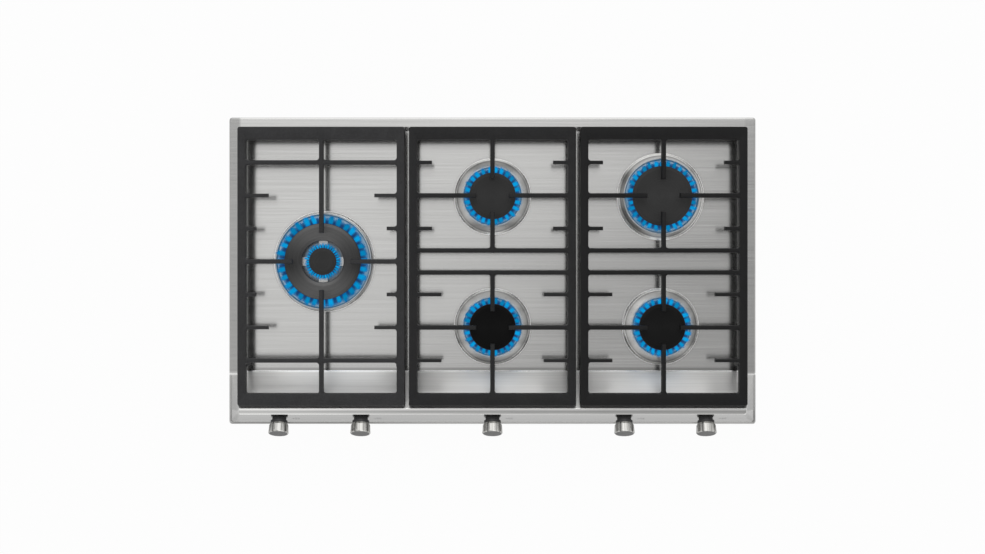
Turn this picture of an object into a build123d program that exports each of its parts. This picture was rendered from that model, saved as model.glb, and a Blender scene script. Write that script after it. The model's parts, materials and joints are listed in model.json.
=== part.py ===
"""Gas cooktop, 36-inch class, five burners, three pan supports, knobs on the front.

Frame: millimetres, +Z up.  The origin is the centre of the steel plate, on the
worktop: +X is the user's right, +Y is the back, and the seal rests on Z = 0.
"""

import os
from collections import namedtuple
from math import atan2, cos, radians, sin, tan

from build123d import *

# ------------------------------------------------------------------ steel plate
plate_width = 914.0  # along X
plate_depth = 532.0  # along Y
plate_corner_radius = 5.0
plate_sheet = 1.2  # stainless sheet
flange_height = 7.0  # flange top over the worktop
edge_roll = 2.8  # rolled outer edge
skirt_gap = 0.8  # skirt edge over the worktop
skirt_trim_width = 8.0  # strip along the edge in which the skirt is cut to length
return_lip = 14.0  # lip turned in under the flange
lip_height = 2.0  # underside of the lip over the worktop

# sunken well
well_floor = 2.0  # floor top over the worktop
well_side_margin = 19.0  # plate edge to the top of the well wall, left and right
well_rear_margin = 17.0
well_wall_run = 6.0  # how far the wall leans in
well_corner_radius = 8.0
well_roll = 2.5  # fillets at the top and the foot of the wall

# raised front console
console_height = 50.0
console_ridge_depth = 10.3
console_ridge_inset = 20.8  # front edge of the ridge behind the plate's front edge
console_face_foot = 2.8  # foot of the face behind the plate's front edge
console_side_foot = 3.2
console_side_top = 24.0
console_sole = 1.0  # the console block starts inside the sheet
console_ramp_angle = 38.0
console_corner_radius = 6.0
console_ridge_fillet = 2.0
pocket_overrun = 20.0  # how far the hollow of the console reaches past the foot of its ramp

# ------------------------------------------------------------------ seal and box
seal_width = 12.0
seal_edge_margin = 2.0
box_sheet = 1.0
box_depth = 75.0  # bottom of the box under the worktop
box_side_margin = 32.0  # plate edge to the box wall
box_front_margin = 27.0
box_rear_margin = 35.0
box_corner_radius = 6.0
box_bottom_radius = 3.0
box_rim = 12.0  # rim turned in under the well floor
box_front_rim = 5.0
notch_width = 70.0  # recess at the rear right corner for the gas inlet
notch_length = 60.0
notch_height = 37.0
vent_length = 42.0
vent_width = 4.0
vent_count = 6
vent_pitch = 14.0
vent_centre = 160.0  # slot groups left and right of the middle
vent_rear = 60.0  # slot groups in front of the rear wall

# ------------------------------------------------------------------ pan supports
grate_side_margin = 22.0  # plate edge to the outer grates
grate_gap = 6.0
grate_rear_margin = 19.7
grate_front_margin = 36.7
grate_front_flare = 3.7  # the front face leans out by this much
grate_over_ridge = 10.0  # grate top over the console's ridge
rail_height = 15.0
finger_height = 13.0
side_rail = 15.0
rear_rail = 22.9
front_rail = 20.7
rail_draft = 1.1
grate_corner_radius = 4.0
grate_edge_fillet = 1.2
window_radius = 4.0
match_tolerance = 0.01  # for picking corners by their coordinates
bar_width = 8.3
finger_width = 6.8
bar_draft_angle = 4.0
grate_console_gap = 2.5
row_rear_gap = 38.3  # rear rail to the rearmost row of fingers
row_front_gap = 55.6
mid_bar_offset = 18.8  # the two bars between front and rear burner
triple_tip_gap = 48.5  # burner centre to finger tip
burner_tip_gap = 27.3
triple_fingers = {2: 38.0, 1: 17.0, -1: 17.0, -2: 38.0}  # row: length
pair_fingers = {3: 25.0, 1: 25.0, -1: 41.0, -3: 41.0}
leg_width = 9.0
leg_corner_radius = 1.8
leg_edge_inset = 11.0
rear_leg_inset = 14.3
front_leg_gap = 13.5  # foot of the ramp to the front legs
leg_overlap = 3.0  # how far a leg runs up into its rail
foot_height = 4.0
foot_radius = 4.2
foot_peg_radius = 1.8
foot_peg_length = 6.0
peg_clearance = 0.05

# ------------------------------------------------------------------ burners
seat_height = 12.0  # top of the pressed ring that carries a cup
seat_width = 4.0
seat_bend = 1.0
ring_flat = 5.0
cup_plate = 3.5
cup_rim_height = 22.0
cup_rim_wall = 1.6
cup_rim_flare = 1.5
cup_wall = 2.5
cup_body_depth = 18.0  # body below the cup plate
cap_base_height = 30.0
cap_thickness = 5.0
cap_edge_fillet = 1.8
cap_peg_depth = 1.5
cap_peg_wall = 2.5
cap_rim_height = 3.4  # upright part of a cap's edge
cap_bevel_width = 6.0
cap_overhang = 4.0
head_seat = 3.0
head_wall = 5.0
head_floor = 3.0
head_skirt_depth = 6.0
head_skirt_wall = 2.5
seat_clearance = 0.3
venturi_radius = 9.0
venturi_throat = 6.0
port_width = 2.4
port_height = 5.0
port_roof = 1.6
boss_radius = 14.0
boss_bottom = -42.0
boss_top = -14.0
jet_bore = 5.0
jet_bore_floor = -36.0
jet_clearance = 0.05
jet_orifice = 0.6
jet_bottom = -24.0
jet_top = -12.0
jet_shoulder = -16.0
jet_nose_radius = 3.0
semi_cap_radius = 40.0
semi_rim_gap = 12.0
semi_ring_width = 14.0
semi_ports = 26
rapid_cap_radius = 51.4
rapid_rim_gap = 14.2
rapid_ring_width = 9.4
rapid_ports = 32
triple_cap_radius = 65.7
triple_cap_hole = 36.0
triple_inner_cap_radius = 23.4
triple_inner_overhang = 2.6
triple_rim_gap = 17.3
triple_ring_width = 4.0
triple_ports = 32
triple_inner_ports = 36
triple_inner_port_width = 1.6
triple_inner_wall = 3.0
triple_ring_wall = 4.0
bridge_width = 15.0
bridge_count = 4
bridge_height = 7.0
bridge_overlap = 2.0
triple_floor_holes = 8
triple_floor_hole_radius = 3.0
port_overrun = 1.0
outer_boss_radius = 12.0
outer_boss_bottom = -38.0

# ------------------------------------------------------------------ ignition
insulator_radius = 2.5
insulator_collar = 3.4
insulator_collar_height = 2.5
insulator_bottom = -6.0
insulator_top = 21.5
insulator_clearance = 0.1
electrode_gap = 0.7
rod_radius = 0.9
rod_clearance = 0.02
rod_bottom = -12.0
rod_top = 26.5
lead_radius = 1.6
lead_floor_gap = 0.3
lead_bend = 12.0
lead_terminal_pitch = 12.0
lead_side_run = 40.0
lead_return_run = 30.0
module_width = 60.0
module_lug_width = 20.0
module_length = 84.0
module_height = 30.0
module_lug = 10.0
module_lug_height = 3.0
module_fillet = 3.0
gland_radius = 7.0
gland_bore = 3.6
gland_flange_radius = 9.5
gland_flange = 2.5
gland_outside = 10.0
gland_inside = 6.0
gland_from_corner = 53.0
gland_height = 19.0

# ------------------------------------------------------------------ knobs and taps
knob_edge_inset = 90.0
knob_pitch = 140.5
pointer_angle = 18.0
pointer_width = 1.6
pointer_depth = 0.7
pointer_length = 14.0
barrel_back = 9.5
barrel_front = 27.0
barrel_neck_radius = 14.7  # where the barrel meets the black core
barrel_shoulder = 3.5
barrel_back_radius = 16.6
barrel_front_radius = 17.5
barrel_bore = 13.5
barrel_face = 2.4
barrel_chamfer = 1.2
core_clearance = 0.05
neck_radius = 14.5
neck_back = 4.5
neck_recess_radius = 12.7
neck_web = 1.2
core_front_gap = 0.3
collar_radius = 12.0
collar_height = 4.0
collar_flange = 1.2
collar_clearance = 0.3
collar_wall = 2.0
panel_hole_margin = 0.05
panel_cut = 3.6  # depth of the hole's cut, through the bent sheet
stem_radius = 4.0
stem_flat = 2.8
stem_front = 20.0
stem_back = -41.0
stem_clearance = 0.05
stem_back_flat = 15.5
stem_front_flat = 12.0
plug_radius = 6.5
plug_front = -30.0
plug_back = -58.0
plug_clearance = 0.05
plug_end_gap = 0.2
plug_socket_back = -46.0
plug_gas_bore = 2.5
gas_port_at = -52.0
tap_radius = 10.0
tap_front = -25.0
tap_back = -62.0
bonnet_thickness = 4.0
bonnet_gap = 0.02
outlet_radius = 5.2
outlet_length = 6.0
outlet_spacing = 13.0
saddle_width = 14.0
saddle_length = 12.0
saddle_bore_overlap = 1.0
saddle_height = 3.0

# ------------------------------------------------------------------ gas rail and pipes
rail_radius = 9.0
rail_bore = 7.0
rail_end_margin = 30.0
rail_plug = 3.0
rail_wall_gap = 14.0
rail_bend = 25.0
pipe_radius = 4.0
pipe_bore = 3.0
pipe_height = -30.0
pipe_bend = 14.0
pipe_start_run = 16.0
pipe_drop_run = 46.0
pipe_side_start = 16.0
pipe_side_end = 56.0
pipe_lane_start = 25.0
pipe_inset = 4.0
pipe_clearance = 0.05
elbow_radius = 11.5
elbow_socket = 14.0
elbow_from_wall = 30.0
inlet_radius = 10.48
inlet_neck_radius = 9.8  # where the lock nut sits
inlet_bore = 7.0
inlet_bottom = 4.0  # end of the inlet above the bottom of the box
inlet_hole_margin = 0.4
inlet_nut_size = 15.0
inlet_nut_height = 6.0
hexagon_turn = 30.0  # degrees, so that two flats of the lock nut face front and rear
inlet_chamfer = 1.0

# ------------------------------------------------------------------ brackets, clamps, screws
bracket_sheet = 1.2
bracket_half_width = 30.0
bracket_foot = 12.0
bracket_length = 32.0
bracket_bend = 2.0
post_width = 24.0
post_top = 18.0
post_x = 120.0
clamp_y = 150.0
clamp_width = 30.0
clamp_sheet = 2.0
clamp_top = -40.0
clamp_plate_height = 30.0
clamp_arm = 24.0
clamp_bend_radius = 3.0
clamp_screw_drop = 18.0
jack_radius = 2.5
jack_length = 32.0
jack_pad_radius = 5.0
jack_pad_height = 2.0
jack_tip = -30.0  # underside of a 30 mm worktop
jack_inset = 8.0
screw_radius = 2.0
screw_length = 6.0
box_screw_grip = 0.9  # how far a module screw goes into the box's sheet
screw_head_radius = 3.6
screw_head_height = 2.4
screw_hole_margin = 0.05
screw_offset = 9.5
recess_size = 2.2
recess_depth = 1.2

# ------------------------------------------------------------------ places worked out
plate_front = -plate_depth / 2
plate_rear = plate_depth / 2
plate_side = plate_width / 2
well_half_top = plate_side - well_side_margin
well_rear_top = plate_rear - well_rear_margin
well_underside = well_floor - plate_sheet
ridge_front_y = plate_front + console_ridge_inset
ridge_rear_y = ridge_front_y + console_ridge_depth
ramp_slope = tan(radians(console_ramp_angle))
ramp_foot_y = ridge_rear_y + (console_height - well_floor) / ramp_slope
face_foot_y = plate_front + console_face_foot
face_rise = console_height - flange_height
face_tilt = atan2(ridge_front_y - face_foot_y, face_rise)  # lean back from upright
face_middle = Vector(0, (ridge_front_y + face_foot_y) / 2, (console_height + flange_height) / 2)
knob_axis = Vector(0, -cos(face_tilt), sin(face_tilt))  # out of the console's face
knob_outer_x = plate_side - knob_edge_inset
knob_inner_x = knob_outer_x - knob_pitch
knob_xs = [-knob_outer_x, -knob_inner_x, 0.0, knob_inner_x, knob_outer_x]

grate_top = console_height + grate_over_ridge
grate_bottom = grate_top - rail_height
grate_width = (plate_width - 2 * grate_side_margin - 2 * grate_gap) / 3
grate_pitch = grate_width + grate_gap
grate_rear_y = plate_rear - grate_rear_margin
grate_front_y = plate_front + grate_front_margin
window_rear_y = grate_rear_y - rear_rail
window_front_y = grate_front_y + front_rail
window_half = grate_width / 2 - side_rail
row_pitch = (window_rear_y - window_front_y - row_rear_gap - row_front_gap) / 6


def row_y(row):
    """Y of a row of fingers: row 0 is the middle one, +3 the rearmost."""
    return window_rear_y - row_rear_gap + (row - 3) * row_pitch


def knob_plane(x, along=0.0, up=0.0):
    """Plane square to a knob's axis, `along` out from the console's face, `up` along it."""
    panel_up = Vector(0, sin(face_tilt), cos(face_tilt))
    place = face_middle + Vector(x, 0, 0) + knob_axis * along + panel_up * up
    return Plane(origin=place, x_dir=(1, 0, 0), z_dir=knob_axis)


def save(piece, name):
    """Label a finished piece and write its STEP file."""
    piece.part.label = name
    export_step(piece.part, f"parts/{name}.step")


os.makedirs("parts", exist_ok=True)

# One row of sizes for each burner: where it stands and the radii that its cup,
# head, cap and pressed ring share.
Burner = namedtuple("Burner", "name x y cap head chamber rim ring ports pipe_from spark")


def burner(name, x, y, cap, rim_gap, ring_width, ports, pipe_from):
    """Sizes of a burner with a single flame ring."""
    head = cap - cap_overhang
    spark = head + electrode_gap + insulator_radius
    rim = cap + rim_gap
    return Burner(name, x, y, cap, head, head - head_seat, rim, rim + ring_width, ports, pipe_from, spark)


triple_crown_radius = triple_inner_cap_radius - triple_inner_overhang
triple_ring_inner = triple_cap_hole + triple_inner_overhang
triple_sizes = (triple_cap_radius, triple_rim_gap, triple_ring_width, triple_ports)
triple = burner("triple", -grate_pitch, row_y(0), *triple_sizes, "left")
triple = triple._replace(spark=(triple_crown_radius + triple_cap_hole) / 2)
semi = (semi_cap_radius, semi_rim_gap, semi_ring_width, semi_ports)
rapid = (rapid_cap_radius, rapid_rim_gap, rapid_ring_width, rapid_ports)
single_burners = [
    burner("rear_centre", 0.0, row_y(2), *semi, "left"),
    burner("front_centre", 0.0, row_y(-2), *semi, "front"),
    burner("rear_right", grate_pitch, row_y(2), *rapid, "right"),
    burner("front_right", grate_pitch, row_y(-2), *semi, "left"),
]
burners = [triple] + single_burners
rear_centre, front_centre, rear_right, front_right = single_burners
spark_angle = 45.0
outer_boss_y = -(triple_ring_inner + triple.head) / 2  # second inlet, under the outer ring


def burner_axis(b):
    """Upright axis of a burner."""
    return Axis((b.x, b.y, 0), (0, 0, 1))


def burner_section(b):
    """Upright plane through a burner's axis: local X is the radius and local Y is Z."""
    return Plane(origin=(b.x, b.y, 0), x_dir=(1, 0, 0), z_dir=(0, -1, 0))


def spark_place(b):
    """X and Y of a burner's electrode."""
    return (
        b.x + b.spark * cos(radians(spark_angle)),
        b.y + b.spark * sin(radians(spark_angle)),
    )


# ================================================================== top tray
block_bottom = -20.0
pocket_front_y = ramp_foot_y - pocket_overrun  # hidden inside the console

with BuildPart() as tray_block:
    with BuildSketch(Plane.XY.offset(block_bottom)):
        RectangleRounded(plate_width, plate_depth, plate_corner_radius)
    extrude(amount=flange_height - block_bottom)
    fillet(tray_block.faces().sort_by(Axis.Z)[-1].edges(), edge_roll)
    floor_middle_y = (well_rear_top - well_wall_run + pocket_front_y) / 2
    floor_length = well_rear_top - well_wall_run - pocket_front_y
    with BuildSketch(Plane.XY.offset(well_floor)):
        with Locations((0, floor_middle_y)):
            RectangleRounded(2 * (well_half_top - well_wall_run), floor_length, well_corner_radius)
    with BuildSketch(Plane.XY.offset(flange_height)):
        with Locations((0, floor_middle_y)):
            RectangleRounded(
                2 * well_half_top, floor_length + 2 * well_wall_run, well_corner_radius + well_wall_run
            )
    loft(ruled=True, mode=Mode.SUBTRACT)
    well_rim = tray_block.faces().filter_by(Axis.Z).sort_by(Axis.Z)[-1].inner_wires()[0].edges()
    fillet(well_rim, well_roll)
    well_bottom = tray_block.faces().filter_by(Axis.Z).sort_by(Axis.Z)[1].outer_wire().edges()
    fillet(well_bottom, well_roll)

side_slope = (console_side_top - console_side_foot) / face_rise
face_slope = (ridge_front_y - face_foot_y) / face_rise
sole_drop = flange_height - console_sole
sole_half = plate_side - console_side_foot + side_slope * sole_drop
sole_front_y = face_foot_y - face_slope * sole_drop
sole_rear_y = ramp_foot_y + (well_floor - console_sole) / ramp_slope

with BuildPart() as console_block:
    with BuildSketch(Plane.XY.offset(console_sole)):
        with Locations((0, (sole_front_y + sole_rear_y) / 2)):
            Rectangle(2 * sole_half, sole_rear_y - sole_front_y)
    with BuildSketch(Plane.XY.offset(console_height)):
        with Locations((0, (ridge_front_y + ridge_rear_y) / 2)):
            Rectangle(2 * (plate_side - console_side_top), console_ridge_depth)
    loft(ruled=True)
    slanted = console_block.edges().filter_by(lambda e: e.bounding_box().size.Z > well_floor)
    fillet(slanted.sort_by(Axis.Y)[:2], console_corner_radius)
    ridge_edges = console_block.faces().sort_by(Axis.Z)[-1].edges().filter_by(Axis.X)
    fillet(ridge_edges.sort_by(Axis.Y)[-1], console_ridge_fillet)

ring_profile_rise = 4.0  # first steep step of a pressed ring
ring_profile_run = 3.0

with BuildPart() as top_tray:
    add(tray_block.part)
    add(console_block.part)
    offset(amount=-plate_sheet, openings=top_tray.faces().sort_by(Axis.Z)[0])
    with BuildSketch(Plane.XY.offset(block_bottom)):
        Rectangle(plate_width + skirt_trim_width, plate_depth + skirt_trim_width)
        Rectangle(
            plate_width - 2 * skirt_trim_width, plate_depth - 2 * skirt_trim_width, mode=Mode.SUBTRACT
        )
    extrude(amount=skirt_gap - block_bottom, mode=Mode.SUBTRACT)
    with BuildSketch(Plane.XY.offset(lip_height)):
        RectangleRounded(
            plate_width - plate_sheet, plate_depth - plate_sheet, plate_corner_radius - plate_sheet / 2
        )
        Rectangle(plate_width - 2 * return_lip, plate_depth - 2 * return_lip, mode=Mode.SUBTRACT)
    extrude(amount=plate_sheet)
    for b in burners:
        seat_radius = b.rim - cup_rim_flare
        hole_radius = seat_radius - seat_width
        with Locations((b.x, b.y, well_underside)):
            Cylinder(
                b.ring + ring_flat,
                plate_sheet,
                align=(Align.CENTER, Align.CENTER, Align.MIN),
                mode=Mode.SUBTRACT,
            )
        with BuildSketch(burner_section(b)):
            with BuildLine():
                Polyline(
                    (b.ring + ring_flat, well_floor - plate_sheet / 2),
                    (b.ring, well_floor - plate_sheet / 2),
                    (b.ring - ring_profile_run, well_floor + ring_profile_rise),
                    (seat_radius + seat_bend, seat_height - plate_sheet / 2),
                    (hole_radius, seat_height - plate_sheet / 2),
                )
                offset(amount=plate_sheet / 2, kind=Kind.INTERSECTION)
            make_face()
        revolve(axis=burner_axis(b))
    for x in knob_xs:
        with Locations(knob_plane(x, plate_sheet)):
            Hole(collar_radius - collar_wall + panel_hole_margin, panel_cut)
save(top_tray, "top_tray")


# ================================================================== worktop seal
with BuildPart() as worktop_seal:
    with BuildSketch():
        RectangleRounded(
            plate_width - 2 * seal_edge_margin,
            plate_depth - 2 * seal_edge_margin,
            plate_corner_radius - seal_edge_margin,
        )
        Rectangle(
            plate_width - 2 * (seal_edge_margin + seal_width),
            plate_depth - 2 * (seal_edge_margin + seal_width),
            mode=Mode.SUBTRACT,
        )
    extrude(amount=lip_height)
save(worktop_seal, "worktop_seal")


# ================================================================== places inside the box
box_half = plate_side - box_side_margin
box_front_y = plate_front + box_front_margin
box_rear_y = plate_rear - box_rear_margin
box_bottom = -box_depth
floor_top = box_bottom + box_sheet
notch_ceiling = box_bottom + notch_height
rail_drop = tap_radius + saddle_height + rail_radius
rail_place = knob_plane(0, gas_port_at, -rail_drop).origin
rail_side_x = box_half - rail_wall_gap
elbow_y = box_rear_y - elbow_from_wall
inlet_end = box_bottom + inlet_bottom
gland_x = box_half - gland_from_corner
gland_y = box_rear_y - notch_length
gland_z = box_bottom + gland_height
module_x = (triple.x + rear_centre.x) / 2
module_y = triple.y
module_lug_y = module_length / 2 + module_lug / 2
low_align = (Align.CENTER, Align.CENTER, Align.MIN)

clamp_places = [(side, y) for side in (-1, 1) for y in (-clamp_y, clamp_y)]
clamp_screw_z = clamp_top - clamp_screw_drop
module_screw_places = [(module_x, module_y - module_lug_y), (module_x, module_y + module_lug_y)]


def clamp_face(side, y, out=0.0):
    """Plane at a clamp's screw, facing away from the box wall."""
    return Plane(origin=(side * (box_half + out), y, clamp_screw_z), x_dir=(0, 1, 0), z_dir=(side, 0, 0))


# ================================================================== burner box
with BuildPart() as burner_box:
    box_length = box_rear_y - box_front_y
    box_middle_y = (box_rear_y + box_front_y) / 2
    with BuildSketch(Plane.XY.offset(box_bottom)):
        with Locations((0, box_middle_y)):
            RectangleRounded(2 * box_half, box_length, box_corner_radius)
    extrude(amount=well_underside - box_bottom)
    with Locations((box_half, box_rear_y, box_bottom)):
        Box(2 * notch_width, 2 * notch_length, notch_height, align=low_align, mode=Mode.SUBTRACT)
    fillet(burner_box.faces().sort_by(Axis.Z)[0].edges(), box_bottom_radius)
    offset(amount=-box_sheet, openings=burner_box.faces().sort_by(Axis.Z)[-1])
    with BuildSketch(Plane.XY.offset(well_underside - box_sheet)):
        with Locations((0, box_middle_y)):
            RectangleRounded(2 * box_half, box_length, box_corner_radius)
        with Locations((0, box_middle_y + (box_front_rim - box_rim) / 2)):
            Rectangle(2 * (box_half - box_rim), box_length - box_front_rim - box_rim, mode=Mode.SUBTRACT)
    extrude(amount=box_sheet)
    with BuildSketch(Plane.XY.offset(box_bottom)):
        for side in (-1, 1):
            for slot in range(vent_count):
                with Locations((side * vent_centre, box_rear_y - vent_rear - slot * vent_pitch)):
                    SlotOverall(vent_length, vent_width)
        with Locations(module_screw_places):
            Circle(screw_radius + screw_hole_margin)
    extrude(amount=box_sheet, mode=Mode.SUBTRACT)
    with Locations((rail_side_x, elbow_y, notch_ceiling)):
        Cylinder(inlet_radius + inlet_hole_margin, box_sheet, align=low_align, mode=Mode.SUBTRACT)
    with Locations(Plane(origin=(gland_x, gland_y, gland_z), x_dir=(1, 0, 0), z_dir=(0, 1, 0))):
        Hole(gland_radius + screw_hole_margin, 2 * box_sheet)
    with Locations([clamp_face(side, y) for side, y in clamp_places]):
        Hole(screw_radius + screw_hole_margin, 2 * box_sheet)
save(burner_box, "burner_box")


# ================================================================== gas rail
rail_start = Plane(origin=(-knob_outer_x - rail_end_margin, rail_place.Y, rail_place.Z), z_dir=(1, 0, 0))
rail_turn = Vector(rail_side_x, rail_place.Y, rail_place.Z)
rail_end = Vector(rail_side_x, elbow_y - elbow_socket / 2, rail_place.Z)


def across_plane(x, up):
    """Plane at a tap's gas port whose normal runs up the console's face."""
    panel_up = Vector(0, sin(face_tilt), cos(face_tilt))
    return Plane(origin=knob_plane(x, gas_port_at, up).origin, x_dir=(1, 0, 0), z_dir=panel_up)


with BuildPart() as gas_manifold:
    with BuildLine():
        FilletPolyline(rail_start.origin, rail_turn, rail_end, radius=rail_bend)
    with BuildSketch(rail_start):
        Circle(rail_radius)
        Circle(rail_bore, mode=Mode.SUBTRACT)
    sweep()
    with BuildSketch(rail_start):
        Circle((rail_radius + rail_bore) / 2)
    extrude(amount=rail_plug)
    with Locations([across_plane(x, -rail_drop + rail_radius) for x in knob_xs]):
        Hole(plug_gas_bore, rail_radius)
save(gas_manifold, "gas_manifold")

inlet_thread_top = notch_ceiling - inlet_nut_height  # the nut hides the thread above this

with BuildPart() as gas_inlet_elbow:
    elbow_centre = Vector(rail_side_x, elbow_y, rail_place.Z)
    elbow_mouth = Plane(
        origin=(rail_side_x, elbow_y - elbow_socket - elbow_radius / 2, rail_place.Z),
        x_dir=(1, 0, 0),
        z_dir=(0, 1, 0),
    )
    with BuildSketch(elbow_mouth):
        Circle(elbow_radius)
    extrude(amount=elbow_y - elbow_mouth.origin.Y)
    with Locations(elbow_centre):
        Sphere(elbow_radius)
        Cylinder(
            elbow_radius,
            rail_place.Z - notch_ceiling - box_sheet,
            align=(Align.CENTER, Align.CENTER, Align.MAX),
        )
        Cylinder(
            inlet_neck_radius,
            rail_place.Z - inlet_thread_top,
            align=(Align.CENTER, Align.CENTER, Align.MAX),
        )
    with Locations((rail_side_x, elbow_y, inlet_thread_top)):
        Cylinder(
            inlet_radius, inlet_thread_top - inlet_end, align=(Align.CENTER, Align.CENTER, Align.MAX)
        )
    chamfer(gas_inlet_elbow.faces().sort_by(Axis.Z)[0].edges(), inlet_chamfer)
    with Locations(elbow_centre):
        Cylinder(
            inlet_bore,
            rail_place.Z - inlet_end,
            align=(Align.CENTER, Align.CENTER, Align.MAX),
            mode=Mode.SUBTRACT,
        )
    with BuildSketch(elbow_mouth):
        Circle(inlet_bore)
    extrude(amount=elbow_y - elbow_mouth.origin.Y, mode=Mode.SUBTRACT)
    with BuildSketch(elbow_mouth):
        Circle(rail_radius + pipe_clearance)
    extrude(amount=rail_end.Y - elbow_mouth.origin.Y, mode=Mode.SUBTRACT)
save(gas_inlet_elbow, "gas_inlet_elbow")


# ================================================================== taps
def outlet_offsets(x):
    """The tap of the triple burner feeds two pipes, the others one."""
    if x == knob_xs[0]:
        return [-outlet_spacing / 2, outlet_spacing / 2]
    return [0.0]


outlet_end = tap_back - outlet_length
saddle_bottom = -(tap_radius + saddle_height + rail_radius / 2)

with BuildPart() as valve_bodies:
    for x in knob_xs:
        with BuildSketch(knob_plane(x, tap_back)):
            Circle(tap_radius)
        extrude(amount=tap_front - tap_back)
        with BuildSketch(knob_plane(x, gas_port_at - saddle_length / 2)):
            with Locations((0, saddle_bottom)):
                Rectangle(saddle_width, -saddle_bottom, align=(Align.CENTER, Align.MIN))
        extrude(amount=saddle_length)
        with BuildSketch(knob_plane(x, outlet_end)):
            for offset_x in outlet_offsets(x):
                with Locations((offset_x, 0)):
                    Circle(outlet_radius)
        extrude(amount=outlet_length)
        with BuildSketch(knob_plane(x, plug_back - plug_end_gap)):
            Circle(plug_radius + plug_clearance)
        extrude(amount=tap_front - plug_back + plug_end_gap, mode=Mode.SUBTRACT)
        with BuildSketch(knob_plane(x, outlet_end)):
            for offset_x in outlet_offsets(x):
                with Locations((offset_x, 0)):
                    Circle(plug_gas_bore)
        extrude(amount=plug_back - outlet_end, mode=Mode.SUBTRACT)
        with BuildSketch(knob_plane(x, outlet_end)):
            for offset_x in outlet_offsets(x):
                with Locations((offset_x, 0)):
                    Circle(pipe_radius + pipe_clearance)
        extrude(amount=pipe_inset, mode=Mode.SUBTRACT)
        with Locations(across_plane(x, saddle_bottom)):
            saddle_bore = -saddle_bottom - plug_radius + saddle_bore_overlap
            Cylinder(plug_gas_bore, saddle_bore, align=low_align, mode=Mode.SUBTRACT)
        # bonnet that keeps the plug in: a spigot in the bore and a flange on the body
        with BuildSketch(knob_plane(x, plug_front + plug_end_gap)):
            Circle(plug_radius)
            Circle(stem_radius + collar_clearance, mode=Mode.SUBTRACT)
        extrude(amount=tap_front + bonnet_gap - plug_front - plug_end_gap)
        with BuildSketch(knob_plane(x, tap_front + bonnet_gap)):
            Circle(tap_radius)
            Circle(stem_radius + collar_clearance, mode=Mode.SUBTRACT)
        extrude(amount=bonnet_thickness)
    rail_line = Location((0, rail_place.Y, rail_place.Z), (0, 90, 0))
    with Locations(rail_line):
        Cylinder(rail_radius, 2 * plate_side, mode=Mode.SUBTRACT)
save(valve_bodies, "valve_bodies")


def stem_outline(radius, flat):
    """D-shaped outline of a stem or of the socket that it slides in."""
    Circle(radius)
    with Locations((0, flat)):
        Rectangle(2 * radius, radius, align=(Align.CENTER, Align.MIN), mode=Mode.SUBTRACT)


for number, x in enumerate(knob_xs, start=1):
    with BuildPart() as valve_plug:
        with BuildSketch(knob_plane(x, plug_back)):
            Circle(plug_radius)
        extrude(amount=plug_front - plug_back)
        with BuildSketch(knob_plane(x, plug_socket_back)):
            stem_outline(stem_radius + stem_clearance, stem_flat + stem_clearance)
        extrude(amount=plug_front - plug_socket_back, mode=Mode.SUBTRACT)
        with BuildSketch(knob_plane(x, plug_back)):
            Circle(plug_gas_bore)
        extrude(amount=gas_port_at - plug_back + plug_gas_bore, mode=Mode.SUBTRACT)
        with Locations(across_plane(x, -plug_radius - plug_clearance)):
            Cylinder(plug_gas_bore, plug_radius, align=low_align, mode=Mode.SUBTRACT)
    save(valve_plug, f"valve_plug_{number}")

    with BuildPart() as valve_stem:
        with BuildSketch(knob_plane(x, stem_back)):
            Circle(stem_radius)
        extrude(amount=stem_front - stem_back)
        flat_ends = [(stem_back, stem_back_flat), (stem_front - stem_front_flat, stem_front_flat)]
        for flat_start, flat_length in flat_ends:
            with BuildSketch(knob_plane(x, flat_start)):
                with Locations((0, stem_flat)):
                    Rectangle(2 * stem_radius, stem_radius, align=(Align.CENTER, Align.MIN))
            extrude(amount=flat_length, mode=Mode.SUBTRACT)
    save(valve_stem, f"valve_stem_{number}")

    with BuildPart() as knob_core:
        with BuildSketch(knob_plane(x, neck_back)):
            Circle(neck_radius)
        extrude(amount=barrel_back - neck_back)
        with BuildSketch(knob_plane(x, barrel_back)):
            Circle(barrel_bore - core_clearance)
        extrude(amount=barrel_front - barrel_face - core_front_gap - barrel_back)
        with BuildSketch(knob_plane(x, neck_back)):
            Circle(neck_recess_radius)
        extrude(amount=barrel_back - neck_web - neck_back, mode=Mode.SUBTRACT)
        with BuildSketch(knob_plane(x, neck_back)):
            stem_outline(stem_radius + stem_clearance, stem_flat + stem_clearance)
        extrude(amount=stem_front - neck_back, mode=Mode.SUBTRACT)
    save(knob_core, f"knob_core_{number}")

    with BuildPart() as knob_barrel:
        barrel_sections = [
            (barrel_back, barrel_neck_radius),
            (barrel_back + barrel_shoulder, barrel_back_radius),
            (barrel_front, barrel_front_radius),
        ]
        for distance, radius in barrel_sections:
            with BuildSketch(knob_plane(x, distance)):
                Circle(radius)
        loft(ruled=True)
        front_face = knob_barrel.faces().sort_by(Axis(face_middle, knob_axis))[-1]
        chamfer(front_face.edges(), barrel_chamfer)
        with BuildSketch(knob_plane(x, barrel_back)):
            Circle(barrel_bore)
        extrude(amount=barrel_front - barrel_face - barrel_back, mode=Mode.SUBTRACT)
        pointer_cuts = [
            (barrel_back, barrel_back_radius, pointer_length),
            (barrel_front - barrel_chamfer, barrel_front_radius, barrel_chamfer),
        ]
        for cut_start, cut_radius, cut_length in pointer_cuts:
            with BuildSketch(knob_plane(x, cut_start)):
                with PolarLocations(cut_radius, 1, start_angle=90 + pointer_angle):
                    Rectangle(2 * pointer_depth, pointer_width)
            extrude(amount=cut_length, mode=Mode.SUBTRACT)
    save(knob_barrel, f"knob_barrel_{number}")

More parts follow.
